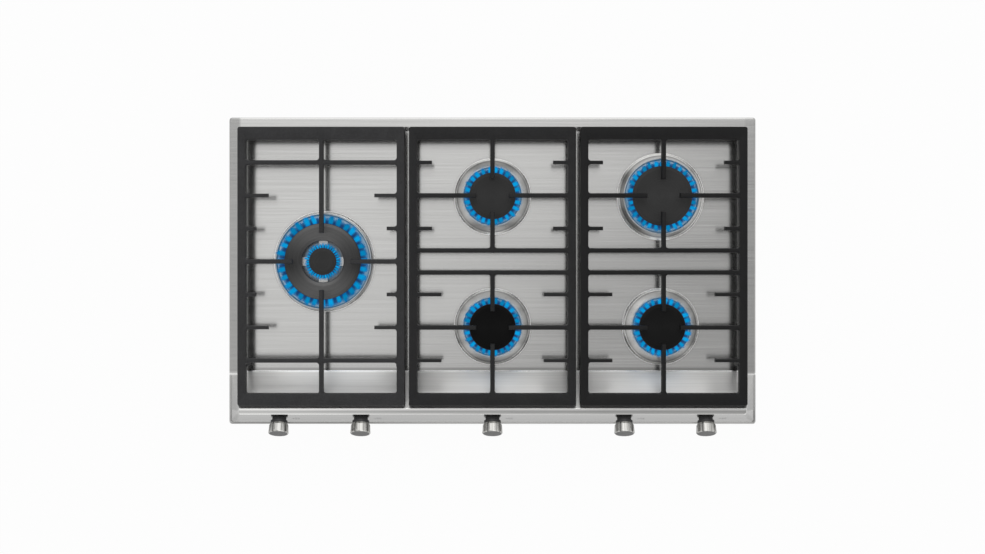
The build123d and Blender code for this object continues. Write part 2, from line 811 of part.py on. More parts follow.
with BuildPart() as knob_collars:
    collar_rings = [
        (0.0, collar_height, collar_radius),
        (-plate_sheet, plate_sheet, collar_radius - collar_wall),
        (-plate_sheet - collar_flange, collar_flange, collar_radius),
    ]
    for x in knob_xs:
        for ring_start, ring_length, ring_radius in collar_rings:
            with BuildSketch(knob_plane(x, ring_start)):
                Circle(ring_radius)
                Circle(stem_radius + collar_clearance, mode=Mode.SUBTRACT)
            extrude(amount=ring_length)
save(knob_collars, "knob_collars")


# ================================================================== pan supports
def tapered_bars(x, fingers, is_triple):
    """Bars and fingers of a pan support, drawn inside its window."""
    window_middle_y = (window_rear_y + window_front_y) / 2

    def upright(from_y, to_y):
        with Locations((x, (from_y + to_y) / 2)):
            Rectangle(bar_width, abs(to_y - from_y), mode=Mode.SUBTRACT)

    def crossing(y, from_x, to_x, width):
        with Locations((x + (from_x + to_x) / 2, y)):
            Rectangle(abs(to_x - from_x), width, mode=Mode.SUBTRACT)

    with Locations((x, window_middle_y)):
        Rectangle(2 * window_half, window_rear_y - window_front_y)
    if is_triple:
        for row in (-3, 3):
            crossing(row_y(row), -window_half, window_half, bar_width)
        upright(window_rear_y, row_y(0) + triple_tip_gap)
        upright(window_front_y, row_y(0) - triple_tip_gap)
        tips = [(0, triple_tip_gap)]
    else:
        for side in (-1, 1):
            crossing(row_y(0) + side * mid_bar_offset, -window_half, window_half, bar_width)
        upright(window_rear_y, row_y(2) + burner_tip_gap)
        upright(row_y(0) + mid_bar_offset, row_y(2) - burner_tip_gap)
        upright(row_y(0) - mid_bar_offset, row_y(-2) + burner_tip_gap)
        upright(window_front_y, row_y(-2) - burner_tip_gap)
        tips = [(2, burner_tip_gap), (-2, burner_tip_gap)]
    for side in (-1, 1):
        for row, tip_gap in tips:
            crossing(row_y(row), side * window_half, side * tip_gap, bar_width)
        for row, length in fingers.items():
            crossing(row_y(row), side * window_half, side * (window_half - length), finger_width)


def window_corners(sketch, x, is_triple):
    """Corners of the windows, leaving out the finger tips."""
    if is_triple:
        edges = [row_y(row) + side * bar_width / 2 for row in (-3, 3) for side in (-1, 1)]
    else:
        edges = [
            row_y(0) + side * (mid_bar_offset + half)
            for side in (-1, 1)
            for half in (-bar_width / 2, bar_width / 2)
        ]
    edges += [window_rear_y, window_front_y]
    return [
        v
        for v in sketch.vertices()
        if abs(abs(v.X - x) - window_half) < match_tolerance
        or any(abs(v.Y - edge) < match_tolerance for edge in edges)
    ]


grates = [
    ("left", -grate_pitch, triple_fingers, True),
    ("centre", 0.0, pair_fingers, False),
    ("right", grate_pitch, pair_fingers, False),
]
rear_leg_y = grate_rear_y - rear_leg_inset
front_leg_y = ramp_foot_y + front_leg_gap
leg_half_x = grate_width / 2 - leg_edge_inset
leg_bottom = well_floor + foot_height
relief_height = console_height + grate_console_gap
relief_lift = grate_console_gap / cos(radians(console_ramp_angle))
relief_rear_y = ramp_foot_y + (well_floor + relief_lift) / ramp_slope
relief_ridge_y = ramp_foot_y - (relief_height - well_floor - relief_lift) / ramp_slope

for grate_name, x, fingers, is_triple in grates:
    leg_places = [(x + side * leg_half_x, y) for side in (-1, 1) for y in (rear_leg_y, front_leg_y)]
    with BuildPart() as grate:
        base_front_y = grate_front_y - grate_front_flare
        with BuildSketch(Plane.XY.offset(grate_bottom)):
            with Locations((x, (grate_rear_y + base_front_y) / 2)):
                RectangleRounded(grate_width, grate_rear_y - base_front_y, grate_corner_radius)
        with BuildSketch(Plane.XY.offset(grate_top)):
            with Locations((x, (grate_rear_y - rail_draft + grate_front_y) / 2)):
                RectangleRounded(
                    grate_width - 2 * rail_draft,
                    grate_rear_y - rail_draft - grate_front_y,
                    grate_corner_radius,
                )
        loft(ruled=True)
        fillet(grate.faces().sort_by(Axis.Z)[-1].edges(), grate_edge_fillet)
        with BuildSketch(Plane.XY.offset(grate_bottom)) as windows:
            tapered_bars(x, fingers, is_triple)
            fillet(window_corners(windows, x, is_triple), window_radius)
        extrude(amount=rail_height, taper=-bar_draft_angle, mode=Mode.SUBTRACT)
        with Locations((x, (window_rear_y + window_front_y) / 2, grate_bottom)):
            Box(
                2 * window_half,
                window_rear_y - window_front_y,
                rail_height - finger_height,
                align=low_align,
                mode=Mode.SUBTRACT,
            )
        with BuildSketch(Plane.XY.offset(leg_bottom)):
            with Locations(leg_places):
                RectangleRounded(leg_width, leg_width, leg_corner_radius)
        extrude(amount=grate_bottom + leg_overlap - leg_bottom)
        with BuildSketch(Plane(origin=(x, 0, 0), x_dir=(0, 1, 0), z_dir=(1, 0, 0))):
            Polygon(
                (plate_front, 0),
                (plate_front, relief_height),
                (relief_ridge_y, relief_height),
                (relief_rear_y, 0),
                align=None,
            )
        extrude(amount=grate_width, both=True, mode=Mode.SUBTRACT)
        with BuildSketch(Plane.XY.offset(leg_bottom)):
            with Locations(leg_places):
                Circle(foot_peg_radius + peg_clearance)
        extrude(amount=foot_peg_length + peg_clearance, mode=Mode.SUBTRACT)
    save(grate, f"grate_{grate_name}")

    with BuildPart() as grate_feet:
        with BuildSketch(Plane.XY.offset(well_floor)):
            with Locations(leg_places):
                Circle(foot_radius)
        extrude(amount=foot_height)
        with BuildSketch(Plane.XY.offset(leg_bottom)):
            with Locations(leg_places):
                Circle(foot_peg_radius)
        extrude(amount=foot_peg_length)
    save(grate_feet, f"grate_feet_{grate_name}")


# ================================================================== burners
def turn(points, x, y, mode=Mode.ADD):
    """Turned solid on the upright axis at x, y, from radius and height pairs."""
    with BuildSketch(Plane(origin=(x, y, 0), x_dir=(1, 0, 0), z_dir=(0, -1, 0))) as section:
        Polygon(*points, align=None)
    revolve(section.sketch, axis=Axis((x, y, 0), (0, 0, 1)), mode=mode)


def cut_ports(x, y, radius, wall, count, width):
    """Gas ports through a ring wall, under the cap."""
    with BuildSketch(Plane.XY.offset(cap_base_height - port_roof - port_height)) as slots:
        with Locations((x, y)):
            with PolarLocations(radius - wall / 2, count):
                Rectangle(wall + 2 * port_overrun, width)
    extrude(slots.sketch, amount=port_height, mode=Mode.SUBTRACT)


def gas_inlet(x, y, radius, side):
    """Pipe socket and gas bore in the side of a boss."""
    directions = {"left": (-1, 0), "right": (1, 0), "front": (0, -1)}
    along_x, along_y = directions[side]
    mouth = Plane(
        origin=(x + along_x * radius, y + along_y * radius, pipe_height),
        x_dir=(0, 0, 1),
        z_dir=(-along_x, -along_y, 0),
    )
    for bore, depth in [(pipe_radius + pipe_clearance, pipe_inset), (pipe_bore, radius)]:
        with BuildSketch(mouth) as circle:
            Circle(bore)
        extrude(circle.sketch, amount=depth, mode=Mode.SUBTRACT)


cup_top = seat_height + cup_plate
chamber_floor = seat_height - cup_body_depth + head_floor
head_top = cap_base_height
inner_chamber = triple_crown_radius - head_seat
ring_chamber_inner = triple_ring_inner + head_seat
outer_jet_y = triple.y + outer_boss_y


def boss_profile():
    """Lower end of a cup: the boss on the burner's axis, from the outside in."""
    return [(0, boss_bottom), (boss_radius, boss_bottom), (boss_radius, boss_top)]


def bore_profile():
    """Venturi cone and the bore that holds the jet."""
    cone_bottom = jet_top + (venturi_throat - jet_bore)
    bore = [(jet_bore, jet_top), (jet_bore, jet_bore_floor), (0, jet_bore_floor)]
    return [(venturi_throat, cone_bottom)] + bore


def rim_profile(b):
    """Cup plate on the pressed ring and the flared rim around it."""
    seat_radius = b.rim - cup_rim_flare
    return [
        (seat_radius, seat_height),
        (b.rim, cup_rim_height),
        (b.rim - cup_rim_wall, cup_rim_height),
        (seat_radius - cup_rim_wall - cup_rim_flare / 2, cup_top),
        (b.chamber, cup_top),
        (b.chamber, chamber_floor),
    ]


for b in burners:
    body_bottom = seat_height - cup_body_depth
    if b is triple:
        middle = [
            (inner_chamber + cup_wall, body_bottom),
            (inner_chamber + cup_wall, seat_height),
            (ring_chamber_inner - cup_wall, seat_height),
            (ring_chamber_inner - cup_wall, body_bottom),
            (b.chamber + cup_wall, body_bottom),
            (b.chamber + cup_wall, seat_height),
        ]
        inside = [
            (ring_chamber_inner, chamber_floor),
            (ring_chamber_inner, cup_top),
            (inner_chamber, cup_top),
            (inner_chamber, chamber_floor),
        ]
    else:
        middle = [(b.chamber + cup_wall, body_bottom), (b.chamber + cup_wall, seat_height)]
        inside = []
    with BuildPart() as burner_cup:
        turn(boss_profile() + middle + rim_profile(b) + inside + bore_profile(), b.x, b.y)
        gas_inlet(b.x, b.y, boss_radius, b.pipe_from)
        with BuildSketch(Plane.XY.offset(seat_height)):
            with Locations(spark_place(b)):
                Circle(insulator_radius + insulator_clearance)
        extrude(amount=cup_plate, mode=Mode.SUBTRACT)
        with BuildSketch(Plane.XY.offset(boss_bottom)):
            with Locations([(b.x + side * screw_offset, b.y) for side in (-1, 1)]):
                Circle(screw_radius + screw_hole_margin)
        extrude(amount=screw_length, mode=Mode.SUBTRACT)
        if b is triple:
            with BuildSketch(Plane.XY.offset(outer_boss_bottom)):
                with Locations((b.x, outer_jet_y)):
                    Circle(outer_boss_radius)
            extrude(amount=body_bottom - outer_boss_bottom)
            with BuildSketch(Plane.XY.offset(jet_bore_floor)):
                with Locations((b.x, outer_jet_y)):
                    Circle(jet_bore)
            extrude(amount=chamber_floor - jet_bore_floor, mode=Mode.SUBTRACT)
            gas_inlet(b.x, outer_jet_y, outer_boss_radius, "front")
    save(burner_cup, f"burner_cup_{b.name}")


def skirt_points(outer, drop):
    """Foot of a head: a skirt just inside a chamber wall of the given radius."""
    return [
        (outer - seat_clearance - head_skirt_wall, cup_top),
        (outer - seat_clearance - head_skirt_wall, cup_top - drop),
        (outer - seat_clearance, cup_top - drop),
        (outer - seat_clearance, cup_top),
    ]


def crown_points(radius, chamber, wall):
    """A round head: floor with a venturi opening, skirt, and the ring wall with the ports."""
    floor_top_z = cup_top + head_floor
    return (
        [(venturi_radius, cup_top)]
        + skirt_points(chamber, head_skirt_depth)
        + [
            (radius, cup_top),
            (radius, head_top),
            (radius - wall, head_top),
            (radius - wall, floor_top_z),
            (venturi_radius, floor_top_z),
        ]
    )


for b in burners:
    with BuildPart() as burner_head:
        if b is triple:
            turn(crown_points(triple_crown_radius, inner_chamber, triple_inner_wall), b.x, b.y)
            skirt_inner = ring_chamber_inner + seat_clearance
            ring_floor_top = cup_top + head_floor
            ring_points = [
                (triple_ring_inner, cup_top),
                (skirt_inner, cup_top),
                (skirt_inner, cup_top - head_skirt_depth),
                (skirt_inner + head_skirt_wall, cup_top - head_skirt_depth),
                (skirt_inner + head_skirt_wall, cup_top),
            ]
            ring_points += skirt_points(b.chamber, head_skirt_depth)
            ring_points += [
                (b.head, cup_top),
                (b.head, head_top),
                (b.head - head_wall, head_top),
                (b.head - head_wall, ring_floor_top),
                (triple_ring_inner + triple_ring_wall, ring_floor_top),
                (triple_ring_inner + triple_ring_wall, head_top),
                (triple_ring_inner, head_top),
            ]
            turn(ring_points, b.x, b.y)
            bridge_start = triple_crown_radius - bridge_overlap
            bridge_end = triple_ring_inner + bridge_overlap
            with BuildSketch(Plane.XY.offset(cup_top)):
                with Locations((b.x, b.y)):
                    with PolarLocations((bridge_start + bridge_end) / 2, bridge_count):
                        Rectangle(bridge_end - bridge_start, bridge_width)
            extrude(amount=bridge_height)
            with BuildSketch(Plane.XY.offset(cup_top)):
                with Locations((b.x, b.y)):
                    with PolarLocations((triple_ring_inner + b.head) / 2, triple_floor_holes):
                        Circle(triple_floor_hole_radius)
            extrude(amount=head_floor, mode=Mode.SUBTRACT)
            inner_ports = (triple_inner_ports, triple_inner_port_width)
            cut_ports(b.x, b.y, triple_crown_radius, triple_inner_wall, *inner_ports)
        else:
            turn(crown_points(b.head, b.chamber, head_wall), b.x, b.y)
        cut_ports(b.x, b.y, b.head, head_wall, b.ports, port_width)
    save(burner_head, f"burner_head_{b.name}")


def round_cap(name, x, y, radius, head_inside):
    """Disc cap with a bevelled top and a ring that drops inside the head."""
    cap_top = cap_base_height + cap_thickness
    peg_outer = head_inside - seat_clearance
    peg_bottom = cap_base_height - cap_peg_depth
    with BuildPart() as cap:
        with BuildSketch(Plane(origin=(x, y, 0), x_dir=(1, 0, 0), z_dir=(0, -1, 0))) as outline:
            Polygon(
                (0, cap_base_height),
                (peg_outer - cap_peg_wall, cap_base_height),
                (peg_outer - cap_peg_wall, peg_bottom),
                (peg_outer, peg_bottom),
                (peg_outer, cap_base_height),
                (radius, cap_base_height),
                (radius, cap_base_height + cap_rim_height),
                (radius - cap_bevel_width, cap_top),
                (0, cap_top),
                align=None,
            )
            fillet(outline.vertices().group_by(Axis.X)[-1].sort_by(Axis.Y)[-1], cap_edge_fillet)
        revolve(axis=Axis((x, y, 0), (0, 0, 1)))
    save(cap, name)


for b in single_burners:
    round_cap(f"burner_cap_{b.name}", b.x, b.y, b.cap, b.head - head_wall)
round_cap(
    "burner_cap_triple_inner",
    triple.x,
    triple.y,
    triple_inner_cap_radius,
    triple_crown_radius - triple_inner_wall,
)

with BuildPart() as burner_cap_triple:
    ring_peg_outer = triple.head - head_wall - seat_clearance
    cap_top = cap_base_height + cap_thickness
    with BuildSketch(burner_section(triple)) as outline:
        Polygon(
            (triple_cap_hole, cap_base_height),
            (ring_peg_outer - cap_peg_wall, cap_base_height),
            (ring_peg_outer - cap_peg_wall, cap_base_height - cap_peg_depth),
            (ring_peg_outer, cap_base_height - cap_peg_depth),
            (ring_peg_outer, cap_base_height),
            (triple.cap, cap_base_height),
            (triple.cap, cap_base_height + cap_rim_height),
            (triple.cap - cap_bevel_width, cap_top),
            (triple_cap_hole + cap_bevel_width, cap_top),
            (triple_cap_hole, cap_base_height + cap_rim_height),
            align=None,
        )
        fillet(outline.vertices().group_by(Axis.X)[-1].sort_by(Axis.Y)[-1], cap_edge_fillet)
        fillet(outline.vertices().group_by(Axis.X)[0].sort_by(Axis.Y)[-1], cap_edge_fillet)
    revolve(axis=burner_axis(triple))
save(burner_cap_triple, "burner_cap_triple")


# ================================================================== pipes and jets
def tap_outlet(x):
    """First three corners of a feed pipe: out of the tap and down to the pipes' height."""
    start = knob_plane(x, outlet_end + pipe_inset).origin
    bend = knob_plane(x, outlet_end - pipe_start_run).origin
    low = Vector(x, bend.Y + pipe_drop_run, pipe_height)
    return [start, bend, low]


def boss_end(x, y, radius, side):
    """End of a feed pipe in the socket of a boss."""
    reach = radius - pipe_inset
    if side == "front":
        return Vector(x, y - reach, pipe_height)
    return Vector(x - reach if side == "left" else x + reach, y, pipe_height)


def pipe_routes():
    """Corner points of each feed pipe, from its tap to its burner."""
    routes = []
    first_x = knob_xs[0] - outlet_spacing / 2
    routes.append(
        tap_outlet(first_x)
        + [Vector(first_x, triple.y, pipe_height), boss_end(triple.x, triple.y, boss_radius, "left")]
    )
    second = tap_outlet(knob_xs[0] + outlet_spacing / 2)
    low = second[-1]
    routes.append(
        second
        + [
            Vector(low.X, low.Y + pipe_side_start, pipe_height),
            Vector(triple.x, low.Y + pipe_side_end, pipe_height),
            boss_end(triple.x, outer_jet_y, outer_boss_radius, "front"),
        ]
    )
    third = tap_outlet(knob_xs[1])
    low = third[-1]
    lane_x = -grate_pitch / 3
    routes.append(
        third
        + [
            Vector(low.X, low.Y + pipe_lane_start, pipe_height),
            Vector(lane_x, row_y(-1), pipe_height),
            Vector(lane_x, rear_centre.y, pipe_height),
            boss_end(rear_centre.x, rear_centre.y, boss_radius, "left"),
        ]
    )
    routes.append(
        tap_outlet(knob_xs[2]) + [boss_end(front_centre.x, front_centre.y, boss_radius, "front")]
    )
    for x, b in [(knob_xs[3], front_right), (knob_xs[4], rear_right)]:
        routes.append(
            tap_outlet(x) + [Vector(x, b.y, pipe_height), boss_end(b.x, b.y, boss_radius, b.pipe_from)]
        )
    return routes


with BuildPart() as gas_pipes:
    for route in pipe_routes():
        with BuildLine():
            FilletPolyline(*route, radius=pipe_bend)
        with BuildSketch(Plane(origin=route[0], x_dir=(1, 0, 0), z_dir=route[1] - route[0])):
            Circle(pipe_radius)
            Circle(pipe_bore, mode=Mode.SUBTRACT)
        sweep()
save(gas_pipes, "gas_pipes")

with BuildPart() as gas_jets:
    jet_places = [(b.x, b.y) for b in burners] + [(triple.x, outer_jet_y)]
    for x, y in jet_places:
        turn(
            [
                (jet_orifice, jet_bottom),
                (jet_bore - jet_clearance, jet_bottom),
                (jet_bore - jet_clearance, jet_shoulder),
                (jet_nose_radius, jet_top),
                (jet_orifice, jet_top),
            ],
            x,
            y,
        )
save(gas_jets, "gas_jets")


# ================================================================== ignition
with BuildPart() as electrode_insulators:
    for b in burners:
        x, y = spark_place(b)
        bore = rod_radius + rod_clearance
        collar_bottom = seat_height - insulator_collar_height
        turn(
            [
                (bore, insulator_bottom),
                (insulator_radius, insulator_bottom),
                (insulator_radius, collar_bottom),
                (insulator_collar, collar_bottom),
                (insulator_collar, seat_height),
                (insulator_radius, seat_height),
                (insulator_radius, insulator_top),
                (bore, insulator_top),
            ],
            x,
            y,
        )
save(electrode_insulators, "electrode_insulators")

with BuildPart() as electrode_rods:
    with BuildSketch(Plane.XY.offset(rod_bottom)):
        with Locations([spark_place(b) for b in burners]):
            Circle(rod_radius)
    extrude(amount=rod_top - rod_bottom)
save(electrode_rods, "electrode_rods")

with BuildPart() as spark_module:
    with BuildSketch(Plane.XY.offset(floor_top)):
        with Locations((module_x, module_y)):
            Rectangle(module_width, module_length)
    extrude(amount=module_height)
    fillet(spark_module.edges().filter_by(Axis.Z), module_fillet)
    fillet(spark_module.faces().sort_by(Axis.Z)[-1].edges(), module_fillet / 2)
    with BuildSketch(Plane.XY.offset(floor_top)):
        with Locations((module_x, module_y)):
            RectangleRounded(module_lug_width, module_length + 2 * module_lug, module_fillet)
    extrude(amount=module_lug_height)
    with BuildSketch(Plane.XY.offset(floor_top)):
        with Locations(module_screw_places):
            Circle(screw_radius + screw_hole_margin)
    extrude(amount=module_lug_height, mode=Mode.SUBTRACT)
save(spark_module, "spark_module")


def lead_routes():
    """Corner points of each ignition lead, from the module to its electrode."""
    left_face = module_x - module_width / 2
    right_face = module_x + module_width / 2
    run_z = floor_top + lead_radius + lead_floor_gap
    terminal_y = [module_y + (i - 1.5) * lead_terminal_pitch for i in range(4)]

    def at(x, y):
        return Vector(x, y, run_z)

    def top_of(b):
        x, y = spark_place(b)
        return [at(x, y), Vector(x, y, rod_bottom)]

    triple_y = spark_place(triple)[1]
    routes = [[at(left_face, triple_y)] + top_of(triple)]
    rear_x, rear_y = spark_place(rear_centre)
    far_x, far_y = spark_place(rear_right)
    routes.append(
        [
            at(right_face, terminal_y[3]),
            at(right_face + lead_side_run, terminal_y[3]),
            at(right_face + lead_side_run, far_y + lead_return_run),
            at(far_x, far_y + lead_return_run),
        ]
        + top_of(rear_right)
    )
    routes.append(
        [
            at(right_face, terminal_y[2]),
            at(rear_x + lead_return_run, terminal_y[2]),
            at(rear_x + lead_return_run, rear_y),
        ]
        + top_of(rear_centre)
    )
    for b, y in [(front_right, terminal_y[1]), (front_centre, terminal_y[0])]:
        routes.append([at(right_face, y), at(spark_place(b)[0], y)] + top_of(b))
    return routes


with BuildPart() as ignition_leads:
    for route in lead_routes():
        with BuildLine():
            FilletPolyline(*route, radius=lead_bend)
        with BuildSketch(Plane(origin=route[0], x_dir=(0, 0, 1), z_dir=route[1] - route[0])):
            Circle(lead_radius)
        sweep()
save(ignition_leads, "ignition_leads")

with BuildPart() as cord_gland:
    gland_parts = [
        (gland_y - box_sheet - gland_inside, gland_inside + box_sheet + gland_outside, gland_radius),
        (gland_y - box_sheet - gland_flange, gland_flange, gland_flange_radius),
        (gland_y, gland_flange, gland_flange_radius),
    ]
    for start_y, length, radius in gland_parts:
        with BuildSketch(Plane(origin=(gland_x, start_y, gland_z), x_dir=(1, 0, 0), z_dir=(0, 1, 0))):
            Circle(radius)
            Circle(gland_bore, mode=Mode.SUBTRACT)
        extrude(amount=length)
save(cord_gland, "cord_gland")


# ================================================================== brackets
def hat_bracket(x, y, half_width, foot, top_z, length):
    """Bent strip that stands on the box floor, with its flat top at top_z."""
    half_sheet = bracket_sheet / 2
    foot_z = floor_top + half_sheet
    plate_z = top_z - half_sheet
    leg_x = half_width - half_sheet
    with BuildSketch(Plane(origin=(x, y, 0), x_dir=(1, 0, 0), z_dir=(0, -1, 0))) as strip:
        with BuildLine():
            FilletPolyline(
                (-half_width - foot, foot_z),
                (-leg_x, foot_z),
                (-leg_x, plate_z),
                (leg_x, plate_z),
                (leg_x, foot_z),
                (half_width + foot, foot_z),
                radius=bracket_bend,
            )
            offset(amount=half_sheet, kind=Kind.INTERSECTION)
        make_face()
    extrude(strip.sketch, amount=length / 2, both=True)


with BuildPart() as inner_brackets:
    for b in burners:
        hat_bracket(b.x, b.y, bracket_half_width, bracket_foot, boss_bottom, bracket_length)
    for x in (-post_x, post_x):
        rail_foot_z = rail_place.Z - rail_radius
        hat_bracket(x, rail_place.Y, post_width / 2, bracket_foot, rail_foot_z, post_top)
    with BuildSketch(Plane.XY.offset(boss_bottom - bracket_sheet)):
        with Locations([(b.x + side * screw_offset, b.y) for b in burners for side in (-1, 1)]):
            Circle(screw_radius + screw_hole_margin)
    extrude(amount=bracket_sheet, mode=Mode.SUBTRACT)
save(inner_brackets, "inner_brackets")

jack_x = box_half + clamp_arm - jack_inset

with BuildPart() as worktop_clamps:
    for side, y in clamp_places:
        clamp_plane = Plane(origin=(side * box_half, y, 0), x_dir=(side, 0, 0), z_dir=(0, -side, 0))
        half_sheet = clamp_sheet / 2
        with BuildSketch(clamp_plane):
            with BuildLine():
                FilletPolyline(
                    (half_sheet, clamp_top - clamp_plate_height),
                    (half_sheet, clamp_top - half_sheet),
                    (clamp_arm, clamp_top - half_sheet),
                    radius=clamp_bend_radius,
                )
                offset(amount=half_sheet, kind=Kind.INTERSECTION)
            make_face()
        extrude(amount=clamp_width / 2, both=True)
        with Locations(clamp_face(side, y, clamp_sheet)):
            Hole(screw_radius + screw_hole_margin, clamp_sheet)
    with BuildSketch(Plane.XY.offset(clamp_top - clamp_sheet)):
        with Locations([(side * jack_x, y) for side, y in clamp_places]):
            Circle(jack_radius + screw_hole_margin)
    extrude(amount=clamp_sheet, mode=Mode.SUBTRACT)
save(worktop_clamps, "worktop_clamps")


# ================================================================== screws
def screw(plane, shank_length):
    """Pan-head screw: the head stands on the plane and the shank goes down from it."""
    with BuildSketch(plane) as head:
        Circle(screw_head_radius)
    extrude(head.sketch, amount=screw_head_height)
    with BuildSketch(plane) as shank:
        Circle(screw_radius)
    extrude(shank.sketch, amount=-shank_length)
    with BuildSketch(plane.offset(screw_head_height)) as recess:
        RegularPolygon(recess_size, 6)
    extrude(recess.sketch, amount=-recess_depth, mode=Mode.SUBTRACT)


with BuildPart() as screws:
    for b in burners:
        for side in (-1, 1):
            under_plate = Plane(
                origin=(b.x + side * screw_offset, b.y, boss_bottom - bracket_sheet), z_dir=(0, 0, -1)
            )
            screw(under_plate, screw_length)
    for x, y in module_screw_places:
        lug_top = floor_top + module_lug_height
        screw(Plane(origin=(x, y, lug_top)), module_lug_height + box_screw_grip)
    for side, y in clamp_places:
        screw(clamp_face(side, y, clamp_sheet), screw_length)
        with BuildSketch(Plane.XY.offset(jack_tip)):
            with Locations((side * jack_x, y)):
                Circle(jack_pad_radius)
        extrude(amount=-jack_pad_height)
        with BuildSketch(Plane.XY.offset(jack_tip)):
            with Locations((side * jack_x, y)):
                Circle(jack_radius)
        extrude(amount=-jack_length)
    # lock nut of the gas inlet, under the ceiling of the box's recess
    with BuildSketch(Plane.XY.offset(notch_ceiling)):
        with Locations((rail_side_x, elbow_y)):
            RegularPolygon(inlet_nut_size, 6, rotation=hexagon_turn)
            Circle(inlet_neck_radius + pipe_clearance, mode=Mode.SUBTRACT)
    extrude(amount=-inlet_nut_height)
save(screws, "screws")
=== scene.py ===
"""Finishes, flames, markings and studio for a built-in gas cooktop.

Everything is in metres, in the frame of the construction: +X is the user's right,
+Y is the back, +Z is up, and Z = 0 is the worktop that the steel plate sits on.
"""

import json
from math import cos, pi, radians, sin
from random import Random

import bmesh
import bpy
from bpy.props import FloatProperty, FloatVectorProperty, IntProperty, PointerProperty
from mathutils import Matrix, Vector


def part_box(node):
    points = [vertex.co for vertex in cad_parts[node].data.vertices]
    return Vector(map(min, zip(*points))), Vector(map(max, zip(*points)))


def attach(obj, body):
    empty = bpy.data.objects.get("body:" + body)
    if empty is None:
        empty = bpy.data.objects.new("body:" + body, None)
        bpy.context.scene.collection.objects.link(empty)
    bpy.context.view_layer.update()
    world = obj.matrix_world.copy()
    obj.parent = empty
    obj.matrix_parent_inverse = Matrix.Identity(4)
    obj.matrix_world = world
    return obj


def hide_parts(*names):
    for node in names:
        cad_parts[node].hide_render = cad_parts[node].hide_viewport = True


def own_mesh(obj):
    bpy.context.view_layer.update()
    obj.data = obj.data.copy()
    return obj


bl_info = {
    "name": "Gas Cooktop Finishes",
    "version": (1, 0, 0),
    "blender": (4, 5, 0),
    "location": "3D Viewport > Sidebar > Cooktop",
    "description": "Steel, iron and enamel finishes, flames and a studio for a gas cooktop",
    "category": "Object",
}

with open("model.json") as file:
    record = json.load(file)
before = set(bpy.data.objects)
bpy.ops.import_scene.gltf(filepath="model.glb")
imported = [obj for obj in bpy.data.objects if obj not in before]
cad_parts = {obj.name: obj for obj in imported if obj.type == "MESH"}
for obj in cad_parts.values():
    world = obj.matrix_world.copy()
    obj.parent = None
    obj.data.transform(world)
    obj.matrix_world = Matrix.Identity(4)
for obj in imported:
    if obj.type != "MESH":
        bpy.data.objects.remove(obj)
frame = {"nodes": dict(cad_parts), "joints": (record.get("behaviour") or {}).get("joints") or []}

MM = 0.001

# ---------------------------------------------------------------- layout of the cooktop
BURNERS = ("triple", "rear_centre", "front_centre", "rear_right", "front_right")
SUPPORTS = ("left", "centre", "right")
KNOB_BURNERS = {  # the burner that each knob serves, from left to right
    1: "triple",
    2: "rear_centre",
    3: "front_centre",
    4: "front_right",
    5: "rear_right",
}

# ---------------------------------------------------------------- photo
PHOTO_WIDTH = 985  # pixels
PHOTO_HEIGHT = 554
SENSOR = 36.0  # mm

# ---------------------------------------------------------------- finishes
NOISE_RANGE = (0.3, 0.7)  # where nearly all values of a noise lie
TONE_TOP = 2.0  # brightest tone that a table of tones may hold
CONSOLE_PAINTED_LIGHT = (  # place from front to back in mm, tone of the steel there: painted highlights and dark lines of painted shade along the console's folds
    (-266.0, 0.42),
    (-264.2, 0.75),
    (-262.6, 0.9),
    (-260.6, 0.7),
    (-256.0, 0.65),
    (-248.0, 0.71),
    (-247.0, 0.64),
    (-246.0, 0.75),
    (-245.2, 1.55),
    (-244.0, 1.4),
    (-241.5, 0.92),
    (-239.0, 0.95),
    (-237.0, 1.6),
    (-235.0, 1.3),
    (-233.0, 1.1),
    (-178.0, 1.26),
    (-175.4, 1.5),
    (-174.6, 1.95),
    (-173.2, 1.95),
    (-172.6, 0.5),
    (-170.6, 0.6),
    (-167.0, 0.95),
    (-160.0, 1.0),
)
END_PAINTED_LIGHT = (  # the same painted highlights and shade at the left and right ends of the console
    (-266.0, 0.42),
    (-264.2, 0.75),
    (-262.6, 0.9),
    (-260.6, 0.7),
    (-256.0, 0.66),
    (-240.0, 0.78),
    (-183.0, 0.84),
    (-180.6, 0.95),
    (-180.0, 1.5),
    (-177.6, 1.5),
    (-177.0, 0.95),
    (-160.0, 1.0),
)
CONSOLE_END = (431.5 * MM, 434.5 * MM)
RING_PAINTED_LIGHT = (  # place outside the edge of a burner's pressed ring in mm, tone of the steel there: a dark line of painted shade inside the ring, a painted highlight on its edge and a painted shadow just outside it
    (-14.0, 1.0),
    (-7.0, 0.88),
    (-4.6, 0.5),
    (-3.8, 0.6),
    (-3.2, 1.5),
    (-1.0, 1.8),
    (0.6, 1.75),
    (1.1, 0.75),
    (2.6, 0.97),
    (6.0, 1.0),
)
RING_RADII = {
    "triple": 87.0 * MM,
    "rear_centre": 66.0 * MM,
    "front_centre": 66.0 * MM,
    "rear_right": 75.0 * MM,
    "front_right": 66.0 * MM,
}
WELL_EDGE = (433 * MM, 436 * MM)
BEND_SHIFT = 5.0 * MM  # the flange meets the console nearer the front than the well's floor does
RAMP_TOP = (-236 * MM, -234 * MM)
RAMP_FOOT = (-176 * MM, -173 * MM)
SIDE_FLANGE = (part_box("top_tray")[1].x - 21 * MM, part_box("top_tray")[1].x - 17 * MM)
SIDE_SHADE_AT_CONSOLE = 0.3  # share of the side flanges' shade that is left beside the console
SIDE_SHADE_STRENGTH = (1.25, 0.4)  # at the left and the right end of the next span
SIDE_SHADE_SPAN = (-0.4, 0.4)  # along X
RING_BLUR_EDGE = (0.5 * MM, 1.5 * MM)  # outside a ring's edge, where its own roughness ends
FACE_PLATE = (26.6 * MM, 26.9 * MM)  # along a knob's axis, where its face begins
FACE_EDGE = (15.2 * MM, 15.8 * MM)  # radius at which the face ends
